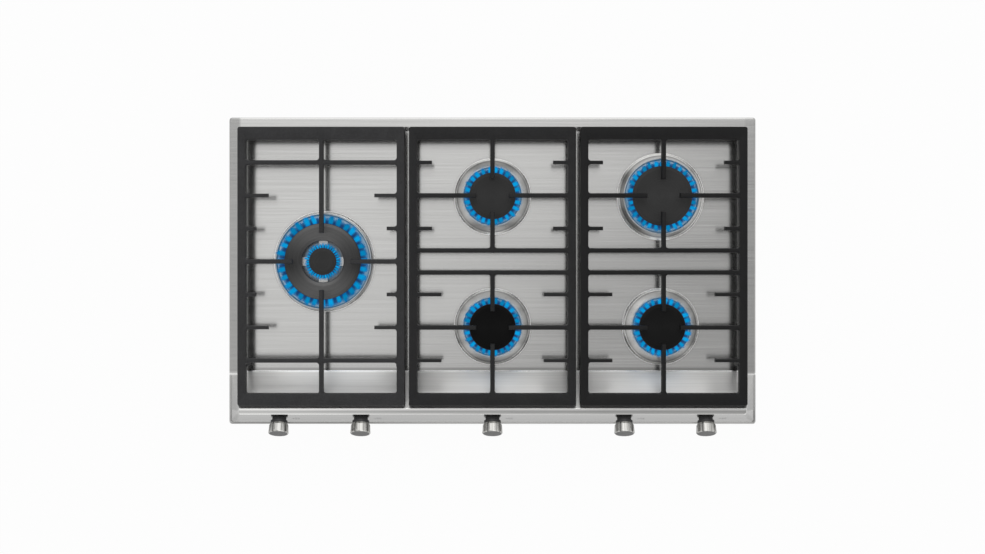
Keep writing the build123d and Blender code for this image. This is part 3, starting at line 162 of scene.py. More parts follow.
FACE_REFLECTION_TONE = 0.06  # the knobs' faces against their barrels, painted dark for the dark reflection in them
FACE_METALLIC = 0.15
BROWNED_LINE = (1.2 * MM, 0.4 * MM)  # inside a cap's edge, where it browns
BROWNED_HEIGHTS = (21 * MM, 27 * MM)  # the burner heads brown from here upwards
BROWNED_SHARE = 0.55
# painted shade in the hollow round the triple burner's inner cap
HOLLOW_SHADE_EDGE = (38 * MM, 44 * MM)  # radius at which the painted shade round the inner cap ends
HOLLOW_SHADE_WANDER = 4 * MM  # how far that edge wanders in and out
HOLLOW_SHADE_SHARE = 0.72
# painted light: each support's iron colour scaled, lightest at the left and darkest at the right,
# as light falls on them
SUPPORT_PAINTED_LIGHT = {"left": 2.6, "centre": 1.25, "right": 0.6}
CAP_FINISHES_AND_PAINTED_LIGHT = {  # tone of the enamel, its gloss, and how far it shows turned metal; the tones are painted light, the rear caps lighter and the front caps darker, and turned metal gets a painted sheen
    "triple": (0.094, 0.2, 0.6),
    "triple_inner": (0.035, 0.2, 0.0),
    "rear_centre": (0.037, 0.2, 0.0),
    "rear_right": (0.044, 0.2, 0.0),
    "front_centre": (0.0065, 0.06, 0.0),
    "front_right": (0.011, 0.09, 0.0),
}
EDGE_ROUNDING = 0.9 * MM  # of the pan supports

# ---------------------------------------------------------------- flames
FIRE, GAP, HAZE, VEIL = range(4)  # material slots of a ring of flames
PORT_MIDDLE = 26.0 * MM  # height of the ports
PORT_COUNTS = {
    "triple": 32,
    "rear_centre": 26,
    "front_centre": 26,
    "rear_right": 32,
    "front_right": 26,
}
INNER_PORTS = 36
PORT_INSET = dict.fromkeys(BURNERS, 4.5 * MM) | {"triple_inner": 3.1 * MM}  # inside a cap's edge
FLAME_PROFILE = (  # share of the length, share of the width
    (0.0, 0.7),
    (0.15, 0.85),
    (0.4, 1.0),
    (0.7, 1.0),
    (0.88, 0.92),
    (0.96, 0.75),
    (1.0, 0.45),
)
FLAME_SIDES = 10
FLAME_HALF_HEIGHT = 0.36  # of a flame's section, as a share of its width
RISE_POWER = 1.7  # how late a flame climbs along its length
LEAN_POWER = 1.5  # how late it leans aside
VEIL_LENGTH = 1.06  # the faint skin of a flame, against the flame
VEIL_WIDTH = 1.6
GAP_DROP = 0.35  # how far the dark fire lies below, as a share of a flame's width
GAP_WIDTH = 0.8  # as a share of the pitch
GAP_RISE = 0.3
HAZE_DROP = 0.3  # as a share of the pitch
HAZE_REACH = (0.5, 1.3)  # inner and outer edge, as shares of a flame's length
HAZE_OUTLINE = (  # share of the way outwards, height in mm
    (0.0, -1.0),
    (0.5, -1.4),
    (1.0, -0.4),
    (1.0, 0.4),
    (0.5, 1.4),
    (0.0, 1.0),
)

# ---------------------------------------------------------------- burner marks
MARK_PLACES = {  # in mm from the middle of a mark
    "triple": (-4.6, 0.0),
    "rear_centre": (0.0, 2.3),
    "front_centre": (0.0, -2.3),
    "rear_right": (4.6, 2.3),
    "front_right": (4.6, -2.3),
}
MARK_FROM_KNOB = 29 * MM
MARK_RADIUS = 1.5 * MM
MARK_HOLE = 1.0 * MM  # radius, in the rings that stand for the other burners
INK_THICKNESS = 0.04 * MM

# ---------------------------------------------------------------- studio
KEY_PLACE = (-0.1, 2.5, 3.0)
KEY_SIZE = 3.4
FRONT_PLACE = (0.4, -2.6, 1.9)
FRONT_SIZE = 1.6
FLOOR_HALF = 8.0
FLOOR_GAP = 0.2 * MM  # below the box under the plate
FLOOR_GLOW = 0.96  # share of white in the floor where it is seen
SHADE_ACROSS = (-0.6, 0.7, 0.0)  # direction along which reflections change from dark to light
SHADE_EDGE = (-0.07, -0.012)  # where along it they change
OVERHEAD = (0.6, 0.85)  # upward part of a direction, from where on reflections darken


def colour(name, description, default):
    """A colour setting."""
    return FloatVectorProperty(
        name=name, description=description, default=default, min=0, max=1, size=3, subtype="COLOR"
    )


def length(name, description, default):
    """A length setting, in metres."""
    return FloatProperty(name=name, description=description, default=default, min=0, unit="LENGTH")


def factor(name, description, default):
    """A setting from 0 to 1."""
    return FloatProperty(
        name=name, description=description, default=default, min=0, max=1, subtype="FACTOR"
    )


def power(name, description, default):
    """A lamp's power setting, in watts."""
    return FloatProperty(
        name=name, description=description, default=default, min=0, unit="POWER"
    )


class FinishSettings(bpy.types.PropertyGroup):
    """Colours and roughnesses of the cooktop's materials."""

    steel: colour("Steel", "Brushed stainless steel plate", (0.555, 0.553, 0.543))
    steel_roughness: factor("Steel roughness", "Blur of the plate's reflections", 0.17)
    steel_grain: factor("Steel grain", "Contrast of the brushing lines", 0.1)
    ramp_roughness: factor("Ramp roughness", "Blur of reflections in the console's slope", 0.42)
    ring_roughness: factor("Ring roughness", "Blur of reflections in the burner rings", 0.3)
    # painted shade of the side flanges, as a tone against the plate
    flange_shade_tone: factor("Side tone", "Tone of the side flanges against the plate", 0.72)
    iron: colour("Cast iron", "Enamel of the pan supports", (0.015, 0.015, 0.0155))
    iron_roughness: factor("Iron roughness", "Roughness of the pan supports", 0.52)
    alloy: colour("Burner alloy", "Cups and heads of the burners", (0.58, 0.575, 0.56))
    chrome: colour("Knob metal", "Barrels of the knobs", (0.5, 0.495, 0.475))
    black_plastic: colour("Black plastic", "Cores of the knobs", (0.014, 0.014, 0.015))
    marking: colour("Marking", "Printed burner marks on the console", (0.2, 0.2, 0.2))


class FlameSettings(bpy.types.PropertyGroup):
    """Size and colour of the gas flames."""

    reach: length("Reach", "Reach of the triple burner's flames past its cap", 14.0 * MM)
    small_reach: length("Small reach", "Reach of the other burners' flames", 10.5 * MM)
    fullness: factor("Fullness", "Share of the way round that the bright flames take", 0.47)
    rise: length("Rise", "How far a flame climbs", 10.0 * MM)
    inner_reach: length("Inner reach", "Reach of the inner crown's flames past its cap", 7.5 * MM)
    bright: colour("Bright", "Middle of a flame", (0.002, 0.26, 0.55))
    deep: colour("Deep", "Root and tip of a flame", (0.003, 0.13, 0.4))
    dark: colour("Gap", "Between two flames", (0.012, 0.045, 0.14))
    haze: colour("Haze", "Thin outer edge of the fire", (0.12, 0.32, 0.52))
    seed: IntProperty(name="Seed", description="Start of the flames' small differences", default=7)


class StudioSettings(bpy.types.PropertyGroup):
    """Camera, lamps and floor."""

    camera_height: length("Camera height", "Lens above the worktop", 2.6)
    camera_y: length("Camera place", "Lens behind the plate's centre", 0.01)
    focal_length: FloatProperty(
        name="Focal length", description="Lens, in mm", default=54.6, min=1
    )
    axis_row: FloatProperty(
        name="Axis row", description="Picture row that the lens points at", default=265.0
    )
    key_power: power("Key", "Power of the large lamp", 27.0)
    fill_power: power("Fill", "Power of the front lamp", 8.0)
    room_light: factor("Room light", "Even light from all round", 0.5)
    shade: factor("Shade", "How far reflections darken overhead towards the front right", 0.95)
    floor: colour("Floor", "Pale floor", (0.9, 0.9, 0.9))


class CooktopSettings(bpy.types.PropertyGroup):
    """All settings of the cooktop."""

    finish: PointerProperty(type=FinishSettings)
    flame: PointerProperty(type=FlameSettings)
    studio: PointerProperty(type=StudioSettings)


# ---------------------------------------------------------------- nodes
class Nodes:
    """Adds shader nodes to a tree; a node's inputs are constants or outputs of other nodes."""

    def __init__(self, tree):
        self.tree = tree

    def link(self, value, socket):
        """Sets a socket to a constant, or links a node's output to it."""
        if isinstance(value, bpy.types.NodeSocket):
            self.tree.links.new(value, socket)
        else:
            socket.default_value = value

    def add(self, kind, inputs=None, **settings):
        """Adds a node of one kind."""
        node = self.tree.nodes.new("ShaderNode" + kind)
        for name, value in settings.items():
            setattr(node, name, value)
        for name, value in (inputs or {}).items():
            self.link(value, node.inputs[name])
        return node

    def maths(self, operation, first, second=0.0):
        """One step of arithmetic."""
        return self.add("Math", {0: first, 1: second}, operation=operation).outputs[0]

    def vector(self, operation, *vectors, output="Vector"):
        """One step of vector arithmetic."""
        inputs = dict(enumerate(vectors))
        return self.add("VectorMath", inputs, operation=operation).outputs[output]

    def span(self, value, low, high, from_low=0.0, from_high=1.0, shape="LINEAR"):
        """Maps a value from one range to another and clamps it."""
        ends = {"From Min": from_low, "From Max": from_high, "To Min": low, "To Max": high}
        return self.add("MapRange", {"Value": value, **ends}, interpolation_type=shape).outputs[0]


class NodeMaterial(Nodes):
    """A material with one Principled shader."""

    def __init__(self, name, **constants):
        self.material = bpy.data.materials.new(name)
        self.material.use_nodes = True
        super().__init__(self.material.node_tree)
        self.shader = self.tree.nodes["Principled BSDF"]
        for socket, value in constants.items():
            self.set(socket.replace("_", " "), value)

    def set(self, socket, value):
        """Sets a shader socket to a constant, or links a node's output to it."""
        self.link(value, self.shader.inputs[socket])

    def place(self):
        """Position on the piece, in metres."""
        return self.add("TexCoord").outputs["Object"]

    def axes(self, place):
        """X, Y and Z of a place."""
        return self.add("SeparateXYZ", {"Vector": place}).outputs

    def flat(self, place):
        """A place without its height."""
        return self.vector("MULTIPLY", place, (1, 1, 0))

    def radius(self, place):
        """Distance of a place from the Z axis."""
        return self.vector("LENGTH", self.flat(place), output="Value")

    def noise(self, scale, detail=3.0, roughness=0.55, vector=None):
        """Noise with its own scale along each axis, in waves a metre."""
        mapping = self.add("Mapping", {"Vector": vector or self.place(), "Scale": scale})
        inputs = {"Vector": mapping.outputs[0], "Scale": 1.0}
        inputs |= {"Detail": detail, "Roughness": roughness}
        return self.add("TexNoise", inputs).outputs[0]

    def mixed(self, first, share, second):
        """Sum of two values, of which the first counts for a share."""
        return self.maths(
            "ADD", self.maths("MULTIPLY", first, share), self.maths("MULTIPLY", second, 1 - share)
        )

    def tones(self, value, stops):
        """Tone along a value in metres, from pairs of place in mm and tone."""
        low, high = stops[0][0] * MM, stops[-1][0] * MM
        ramp = self.add("ValToRGB", {"Fac": self.span(value, 0.0, 1.0, low, high)})
        elements = ramp.color_ramp.elements
        while len(elements) < len(stops):
            elements.new(0.5)
        for element, (place, tone) in zip(elements, stops):
            element.position = (place * MM - low) / (high - low)
            element.color = (tone / TONE_TOP, tone / TONE_TOP, tone / TONE_TOP, 1)
        return self.maths("MULTIPLY", ramp.outputs["Color"], TONE_TOP)

    def tinted(self, rgb, tone):
        """A colour times a tone."""
        return self.add("VectorMath", {0: rgb, "Scale": tone}, operation="SCALE").outputs[0]

    def blend(self, amount, first, second):
        """Mix of two colours."""
        node = self.add("Mix", data_type="RGBA")
        for name, value in (("Factor", amount), ("A", first), ("B", second)):
            socket = next(s for s in node.inputs if s.name == name and s.enabled)
            is_colour = name != "Factor" and not isinstance(value, bpy.types.NodeSocket)
            self.link((*value[:3], 1) if is_colour else value, socket)
        return next(s for s in node.outputs if s.enabled)

    def bump(self, height, strength, distance):
        """Relief from a height value; distance is in metres."""
        node = self.add("Bump", {"Strength": strength, "Distance": distance, "Height": height})
        self.set("Normal", node.outputs[0])


def scaled(rgb, amount):
    """A colour made lighter or darker."""
    return tuple(min(1.0, channel * amount) for channel in rgb)


# ---------------------------------------------------------------- materials
def painted_flange_shade(m, x, y, flange_shade_tone):
    """Painted shade of the side flanges, strongest at the left and weakest beside the console."""
    shade = m.span(m.maths("ABSOLUTE", x), 0, 1 - flange_shade_tone, *SIDE_FLANGE)
    shade = m.maths("MULTIPLY", shade, m.span(y, SIDE_SHADE_AT_CONSOLE, 1.0, *RAMP_FOOT))
    shade = m.maths("MULTIPLY", shade, m.span(x, *SIDE_SHADE_STRENGTH, *SIDE_SHADE_SPAN))
    return m.maths("SUBTRACT", 1.0, shade)


def console_painted_light(m, x, y):
    """Painted highlights and shade along the console's folds, over its length and at its two ends.
    """
    at_end = m.span(m.maths("ABSOLUTE", x), 0, 1, *CONSOLE_END)
    within = m.maths("SUBTRACT", 1.0, at_end)
    middle = m.maths("MULTIPLY", m.tones(y, CONSOLE_PAINTED_LIGHT), within)
    end = m.maths("MULTIPLY", m.tones(y, END_PAINTED_LIGHT), at_end)
    return m.maths("ADD", middle, end)


def on_ramp(m, x, y):
    """1 on the console's rear slope, otherwise 0."""
    bend = m.span(m.maths("ABSOLUTE", x), 0, BEND_SHIFT, *WELL_EDGE)
    along = m.maths("ADD", y, bend)
    return m.maths("MULTIPLY", m.span(along, 0, 1, *RAMP_TOP), m.span(along, 1, 0, *RAMP_FOOT))


def past_rings(m):
    """Distance outside the edge of the nearest pressed burner ring, in metres."""
    nearest = None
    for burner in BURNERS:
        away = m.vector("SUBTRACT", m.place(), node_centre(f"burner_cup_{burner}"))
        distance = m.maths("SUBTRACT", m.radius(away), RING_RADII[burner])
        nearest = distance if nearest is None else m.maths("MINIMUM", nearest, distance)
    return nearest


def brushed_steel(name, settings):
    """Stainless sheet, brushed along X, with painted highlights and shade at its folds and rings
    and painted shade on its side flanges.
    """
    m = NodeMaterial(name, Metallic=1.0, Anisotropic=0.5)
    x, y, _ = m.axes(m.place())
    from_ring = past_rings(m)
    fine = m.noise((7, 900, 900), detail=4)
    broad = m.noise((3, 260, 260), detail=3)
    cloud = m.noise((3, 7, 7), detail=1)
    grain = m.mixed(fine, 0.55, broad)
    tone = m.span(grain, 1 - settings.steel_grain, 1 + settings.steel_grain, *NOISE_RANGE)
    tone = m.maths("MULTIPLY", tone, m.span(cloud, 0.97, 1.03, *NOISE_RANGE))
    # painted shade on the side flanges
    tone = m.maths("MULTIPLY", tone, painted_flange_shade(m, x, y, settings.flange_shade_tone))
    # painted highlights and shade along the console's folds
    tone = m.maths("MULTIPLY", tone, console_painted_light(m, x, y))
    # painted highlights, shade and shadow round the burner rings
    tone = m.maths("MULTIPLY", tone, m.tones(from_ring, RING_PAINTED_LIGHT))
    m.set("Base Color", m.tinted(settings.steel, tone))
    smooth = settings.steel_roughness
    sheet = m.span(fine, smooth - 0.03, smooth + 0.05, *NOISE_RANGE)
    ramp = m.maths("MULTIPLY", on_ramp(m, x, y), settings.ramp_roughness - smooth)
    in_ring = m.span(from_ring, 1, 0, *RING_BLUR_EDGE)
    ring = m.maths("MULTIPLY", in_ring, settings.ring_roughness - smooth)
    m.set("Roughness", m.maths("ADD", m.maths("ADD", sheet, ramp), ring))
    m.set("Tangent", m.add("Tangent", direction_type="RADIAL", axis="X").outputs[0])
    m.bump(fine, 0.1, 0.04 * MM)
    return m.material


def cast_iron(name, settings, painted_light_scale):
    """Matt enamel on a sand-cast surface; the colour is scaled by painted light, lighter or darker
    as light falls on each support.
    """
    m = NodeMaterial(name, Specular_IOR_Level=0.2)
    grit = m.noise((520, 520, 520), detail=5, roughness=0.7)
    cloud = m.noise((38, 38, 38), detail=2)
    speckle = m.span(grit, 0.62, 1.42, *NOISE_RANGE)
    tone = m.maths("MULTIPLY", speckle, m.span(cloud, 0.88, 1.12, *NOISE_RANGE))
    # painted light: the iron's colour scaled for each support
    m.set("Base Color", m.tinted(scaled(settings.iron, painted_light_scale), tone))
    rough = settings.iron_roughness
    m.set("Roughness", m.span(grit, rough - 0.08, rough + 0.1, *NOISE_RANGE))
    m.bump(grit, 0.5, 0.35 * MM)
    return m.material


def plain_finish(name, rgb, roughness, metallic=0.0, scale=600, contrast=0.12):
    """Fine even grain over a colour: plastics, rubbers, machined and cast metals."""
    m = NodeMaterial(name, Metallic=metallic)
    grain = m.noise((scale, scale, scale), detail=4)
    cloud = m.noise((scale / 20, scale / 20, scale / 20), detail=1)
    value = m.mixed(grain, 0.6, cloud)
    lightness = m.span(value, 0, 1, *NOISE_RANGE)
    m.set("Base Color", m.blend(lightness, scaled(rgb, 1 - contrast), scaled(rgb, 1 + contrast)))
    low, high = max(0.0, roughness - 0.05), min(1.0, roughness + 0.05)
    m.set("Roughness", m.span(value, low, high, *NOISE_RANGE))
    m.bump(grain, 0.25, 0.1 * MM)
    return m.material


def turned_finish(name, rgb, roughness, centre, axis, reflection_lines):
    """Metal with streaks along a round piece on an axis that paint the dark lines reflected in it,
    and a face plate at its end painted dark for the dark reflection in it.
    """
    m = NodeMaterial(name)
    turn = Vector((0, 0, 1)).rotation_difference(Vector(axis)).to_euler()
    inputs = {"Vector": m.place(), "Location": tuple(centre), "Rotation": tuple(turn)}
    local = m.add("Mapping", inputs, vector_type="TEXTURE").outputs[0]
    round_about = m.vector("NORMALIZE", m.flat(local))
    # painted reflection: dark streaks along the barrel
    reflection_streak = m.noise((2.3, 2.3, 2.3), detail=2, roughness=0.6, vector=round_about)
    fine = m.noise((18.4, 18.4, 18.4), detail=2, vector=round_about)
    value = m.mixed(reflection_streak, 0.75, fine)
    tone = m.span(value, 1.0, 1 - reflection_lines, 0.49, 0.56)
    # painted reflection: the face plate darkened
    at_front = m.span(m.axes(local)["Z"], 0, 1, *FACE_PLATE)
    face = m.maths("MULTIPLY", at_front, m.span(m.radius(local), 1, 0, *FACE_EDGE))
    tone = m.maths("MULTIPLY", tone, m.span(face, 1.0, FACE_REFLECTION_TONE))
    m.set("Base Color", m.tinted(rgb, tone))
    m.set("Metallic", m.span(face, 1.0, FACE_METALLIC))
    m.set("Specular IOR Level", 0.2)
    m.set("Roughness", m.span(value, roughness, roughness + 0.08, *NOISE_RANGE))
    return m.material


def enamel_cap(name, rgb, node, shine, turned_metal_and_sheen):
    """Matt enamel with faint concentric marks, browned in a thin line round the edge, with a
    painted sheen where it shows turned metal.
    """
    low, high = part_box(node)
    m = NodeMaterial(name, Specular_IOR_Level=shine, Metallic=turned_metal_and_sheen, Anisotropic=0.7)
    local = m.vector("SUBTRACT", m.place(), (low + high) / 2)
    radius = m.radius(local)
    inputs = {"W": m.maths("MULTIPLY", radius, 500), "Scale": 1.0, "Detail": 2.0}
    ring = m.add("TexNoise", inputs, noise_dimensions="1D").outputs[0]
    grit = m.noise((700, 700, 700), detail=4, roughness=0.7)
    tone = m.span(m.mixed(ring, 0.35, grit), 0.78, 1.22, *NOISE_RANGE)
    if turned_metal_and_sheen:  # painted sheen, brightest in front of and behind the middle
        along = m.maths("DIVIDE", m.axes(local)["Y"], radius)
        tone = m.maths("MULTIPLY", tone, m.span(m.maths("MULTIPLY", along, along), 0.56, 1.5))
    edge = high.x - (low + high).x / 2
    heat = m.span(radius, 0.0, 0.8, *(edge - inside for inside in BROWNED_LINE))
    m.set("Base Color", m.blend(heat, m.tinted(rgb, tone), (0.09, 0.05, 0.03)))
    m.set("Roughness", m.span(grit, 0.4, 0.55, *NOISE_RANGE))
    m.set("Tangent", m.add("Tangent", direction_type="RADIAL", axis="Z").outputs[0])
    m.bump(grit, 0.35, 0.12 * MM)
    return m.material


def burner_alloy(name, settings, shaded_node=None):
    """Cast aluminium, bead-blasted, browned at the ports, with painted shade in the hollow round
    the named cap.
    """
    m = NodeMaterial(name, Metallic=1.0)
    grit = m.noise((900, 900, 900), detail=4, roughness=0.6)
    cloud = m.noise((60, 60, 60), detail=2)
    high_up = m.span(m.axes(m.place())["Z"], 0, 1, *BROWNED_HEIGHTS)
    heat = m.maths("MULTIPLY", high_up, m.span(cloud, 0.5, 1, *NOISE_RANGE))
    base = m.tinted(settings.alloy, m.span(grit, 0.9, 1.08, *NOISE_RANGE))
    base = m.blend(m.maths("MULTIPLY", heat, BROWNED_SHARE), base, (0.3, 0.25, 0.2))
    if shaded_node:
        # painted shade in the hollow round the cap
        radius = m.radius(m.vector("SUBTRACT", m.place(), node_centre(shaded_node)))
        wander = m.span(cloud, -HOLLOW_SHADE_WANDER, HOLLOW_SHADE_WANDER, *NOISE_RANGE)
        hollow_shade = m.span(m.maths("ADD", radius, wander), 1, 0, *HOLLOW_SHADE_EDGE)
        base = m.blend(m.maths("MULTIPLY", hollow_shade, HOLLOW_SHADE_SHARE), base, (0.03, 0.03, 0.035))
    m.set("Base Color", base)
    m.set("Roughness", m.span(grit, 0.3, 0.42, *NOISE_RANGE))
    m.bump(grit, 0.3, 0.08 * MM)
    return m.material


def galvanised(name):
    """Zinc-coated sheet with soft spangles."""
    zinc = (0.52, 0.53, 0.54)
    m = NodeMaterial(name, Metallic=1.0)
    scaled_place = m.add("Mapping", {"Vector": m.place(), "Scale": (90, 90, 90)}).outputs[0]
    cells = m.add("TexVoronoi", {"Vector": scaled_place, "Scale": 1.0}).outputs["Color"]
    spangle = m.add("SeparateColor", {"Color": cells}).outputs["Red"]
    m.set("Base Color", m.blend(spangle, scaled(zinc, 0.9), scaled(zinc, 1.1)))
    m.set("Roughness", m.span(spangle, 0.36, 0.5))
    m.bump(m.noise((400, 400, 400)), 0.15, 0.05 * MM)
    return m.material


def gas_flame(name, root, middle, tip, alphas):
    """Fire whose colour and density change from its root over its middle to its tip."""
    m = NodeMaterial(name, Roughness=1.0, Specular_IOR_Level=0.0)
    height = m.add("Attribute", attribute_name="flame_height").outputs["Fac"]
    flicker = m.noise((160, 160, 160), detail=2)
    tone = m.maths("ADD", height, m.span(flicker, -0.12, 0.12, *NOISE_RANGE))
    m.set("Base Color", (0.0, 0.01, 0.03, 1))
    if root == middle == tip:
        m.set("Emission Color", (*root, 1))
    else:
        inner = m.blend(m.span(tone, 0, 1, 0.1, 0.45), root, middle)
        m.set("Emission Color", m.blend(m.span(tone, 0, 1, 0.65, 1.0), inner, tip))
    m.set("Emission Strength", m.add("Attribute", attribute_name="flame_glow").outputs["Fac"])
    m.set("Alpha", m.tones(tone, [(place / MM, alpha) for place, alpha in alphas]))
    return m.material


# ---------------------------------------------------------------- meshes
def new_piece(name, mesh, body, material=None):
    """A visible piece that rides on a body."""
    piece = bpy.data.objects.new(name, mesh)
    bpy.context.scene.collection.objects.link(piece)
    if material:
        mesh.materials.append(material)
    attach(piece, body)
    return piece


def give(node, material):
    """Puts a material on a CAD node's object."""
    slots = frame["nodes"][node].material_slots
    if not slots:
        frame["nodes"][node].data.materials.append(material)
    for slot in slots:
        slot.material = material


def node_centre(node):
    """Middle of a CAD node's box."""
    low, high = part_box(node)
    return (low + high) / 2


def softened(node, body, width):
    """Copy of a CAD node with its sharp edges rounded, standing in its place."""
    source = frame["nodes"][node]
    mesh = source.data.copy()
    mesh.name = node + "_soft"
    work = bmesh.new()
    work.from_mesh(mesh)
    bmesh.ops.remove_doubles(work, verts=work.verts, dist=0.01 * MM)
    bmesh.ops.dissolve_limit(
        work,
        angle_limit=radians(0.6),
        verts=work.verts,
        edges=work.edges,
        use_dissolve_boundaries=False,
    )
    work.to_mesh(mesh)
    work.free()
    mesh.materials.clear()
    piece = new_piece(node + "_soft", mesh, body)
    bevel = piece.modifiers.new("Edges", "BEVEL")
    bevel.width = width
    bevel.segments = 2
    bevel.limit_method = "ANGLE"
    bevel.angle_limit = radians(32)
    bevel.use_clamp_overlap = True
    bevel.harden_normals = False
    bpy.context.view_layer.update()
    evaluated = piece.evaluated_get(bpy.context.evaluated_depsgraph_get())
    final = bpy.data.meshes.new_from_object(evaluated)
    piece.modifiers.clear()
    piece.data = final
    final.shade_smooth()
    final.set_sharp_from_angle(angle=radians(40))
    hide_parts(node)
    return piece


def knob_hinges():
    """Number, place and outward axis of each knob's hinge."""
    for number in KNOB_BURNERS:
        joint = next(j for j in frame["joints"] if j["name"] == f"knob_{number}_turn")
        yield number, Vector(joint["pos_m"]), Vector(joint["axis"])


def joined_rings(work, rings, closed=False):
    """Walls between rings of vertices that follow each other, and the faces made."""
    followers = rings[1:] + rings[:1] if closed else rings[1:]
    faces = []
    for first, second in zip(rings, followers):
        for side in range(len(first)):
            after = (side + 1) % len(first)
            faces.append(work.faces.new((first[side], first[after], second[after], second[side])))
    return faces


class FlameMesh:
    """Collects flames round a burner's axis in one mesh."""

    def __init__(self, name, centre, start):
        self.name = name
        self.centre = centre
        self.start = start
        self.work = bmesh.new()
        self.height = self.work.verts.layers.float.new("flame_height")
        self.glow = self.work.verts.layers.float.new("flame_glow")

    def vertex(self, place, height, glow):
        """A vertex with the two values that the fire's materials read."""
        vertex = self.work.verts.new(place)
        vertex[self.height] = height
        vertex[self.glow] = glow
        return vertex

    def add_flame(self, slot, angle, reach, width, rise, lean=0.0, glow=1.0, drop=0.0):
        """One tongue of flame from a port: a tapering tube that bends upwards."""
        outward = Vector((cos(angle), sin(angle), 0))
        aside = Vector((-sin(angle), cos(angle), 0))
        up = Vector((0, 0, 1))
        root = self.centre - up * drop
        rings = []
        for share, girth in FLAME_PROFILE:
            middle = root + outward * (self.start + reach * share)
            middle += up * (rise * share ** RISE_POWER) + aside * (lean * share ** LEAN_POWER)
            across = aside * (0.5 * width * girth)
            upright = up * (FLAME_HALF_HEIGHT * width * girth)
            turns = [2 * pi * side / FLAME_SIDES for side in range(FLAME_SIDES)]
            places = [middle + across * cos(turn) + upright * sin(turn) for turn in turns]
            rings.append([self.vertex(place, share, glow) for place in places])
        for face in joined_rings(self.work, rings):
            face.material_index = slot
            face.smooth = True
        for ring in (rings[0][::-1], rings[-1]):
            self.work.faces.new(ring).material_index = slot

    def add_haze(self, inner, outer, drop, sides=96):
        """Thin closed ring of faint fire round the flames."""
        rings = []
        for share, lift in HAZE_OUTLINE:
            radius = inner + (outer - inner) * share
            turns = [2 * pi * side / sides for side in range(sides)]
            height = lift * MM - drop
            places = [Vector((radius * cos(turn), radius * sin(turn), height)) for turn in turns]
            rings.append([self.vertex(self.centre + place, share, 1.0) for place in places])
        for face in joined_rings(self.work, rings, closed=True):
            face.material_index = HAZE
            face.smooth = True

    def finish(self, materials):
        """The mesh, with its materials."""
        mesh = bpy.data.meshes.new(self.name)
        self.work.to_mesh(mesh)
        self.work.free()
        for material in materials:
            mesh.materials.append(material)
        return mesh


def flame_ring(name, centre, start, cap_radius, count, reach, flame, materials):
    """All flames of one ring of ports, with the darker fire between them and the haze."""
    random = Random(flame.seed + count + len(name))
    length = cap_radius - start + reach
    pitch = 2 * pi * (cap_radius + 0.4 * reach) / count
    rise = flame.rise * reach / flame.reach
    fire = FlameMesh(name, centre, start)
    for port in range(count):
        angle = 2 * pi * port / count + random.uniform(-0.12, 0.12) * pi / count
        size = random.uniform(0.88, 1.12)
        width = pitch * flame.fullness * random.uniform(0.84, 1.12)
        lean = random.uniform(-0.4, 0.4) * width
        glow = random.uniform(0.75, 1.35)
        gap_size = random.uniform(0.75, 0.95)
        tall = rise * size
        fire.add_flame(FIRE, angle, length * size, width, tall, lean, glow)
        veil_length = VEIL_LENGTH * length * size
        fire.add_flame(VEIL, angle, veil_length, VEIL_WIDTH * width, tall, lean, glow)
        between = angle + pi / count
        gap_width, gap_rise = GAP_WIDTH * pitch, GAP_RISE * rise
        fire.add_flame(GAP, between, length * gap_size, gap_width, gap_rise, drop=GAP_DROP * width)
    inner, outer = (start + share * length for share in HAZE_REACH)
    fire.add_haze(inner, outer, HAZE_DROP * pitch)
    piece = new_piece(name, fire.finish(materials), "root")
    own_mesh(piece)
    return piece


def disc(work, plane, x, y, radius, hole=0.0, sides=24):
    """A thin printed disc, or a ring if it has a hole, on a plane given as a matrix."""

    def rim(rim_radius, height):
        turns = [2 * pi * side / sides for side in range(sides)]
        middle = Vector((x, y, height))
        spokes = [Vector((cos(turn), sin(turn), 0)) for turn in turns]
        return [work.verts.new(plane @ (middle + spoke * rim_radius)) for spoke in spokes]

    low, high = 0.0, INK_THICKNESS
    if hole:
        outline = ((radius, low), (radius, high), (hole, high), (hole, low))
        joined_rings(work, [rim(*corner) for corner in outline], closed=True)
    else:
        lower, upper = rim(radius, low), rim(radius, high)
        joined_rings(work, [lower, upper])
        work.faces.new(upper)
        work.faces.new(lower[::-1])


# ---------------------------------------------------------------- operators
class CooktopOperator(bpy.types.Operator):
    """Base of the cooktop's operators: runs build() with the scene's settings."""

    bl_options = {"REGISTER", "UNDO"}

    def execute(self, context):
        self.build(context.scene.cooktop)
        return {"FINISHED"}


class FinishPlate(CooktopOperator):
    """Brush the steel plate, paint highlights and shade into it, and finish what holds it to the
    worktop
    """

    bl_idname = "cooktop.finish_plate"
    bl_label = "Plate"

    def build(self, settings):
        give("top_tray", brushed_steel("brushed_steel_plate", settings.finish))
        foam = plain_finish("foam_seal", (0.09, 0.09, 0.09), 0.9, scale=900, contrast=0.4)
        give("worktop_seal", foam)
        for node in ("burner_box", "inner_brackets", "worktop_clamps"):
            give(node, galvanised("galvanised_" + node))


class FinishSupports(CooktopOperator):
    """Round the edges of the pan supports and give them their cast-iron finish, with painted light
    that makes the left one lightest and the right one darkest
    """

    bl_idname = "cooktop.finish_supports"
    bl_label = "Pan supports"

    def build(self, settings):
        rubber = plain_finish("foot_rubber", (0.03, 0.03, 0.03), 0.8)
        for side in SUPPORTS:
            # each support's iron is painted lighter or darker, as light falls on it
            iron = cast_iron("cast_iron_painted_light_" + side, settings.finish, SUPPORT_PAINTED_LIGHT[side])
            grate = softened(f"grate_{side}", f"support_{side}", EDGE_ROUNDING)
            grate.data.materials.append(iron)
            give(f"grate_feet_{side}", rubber)


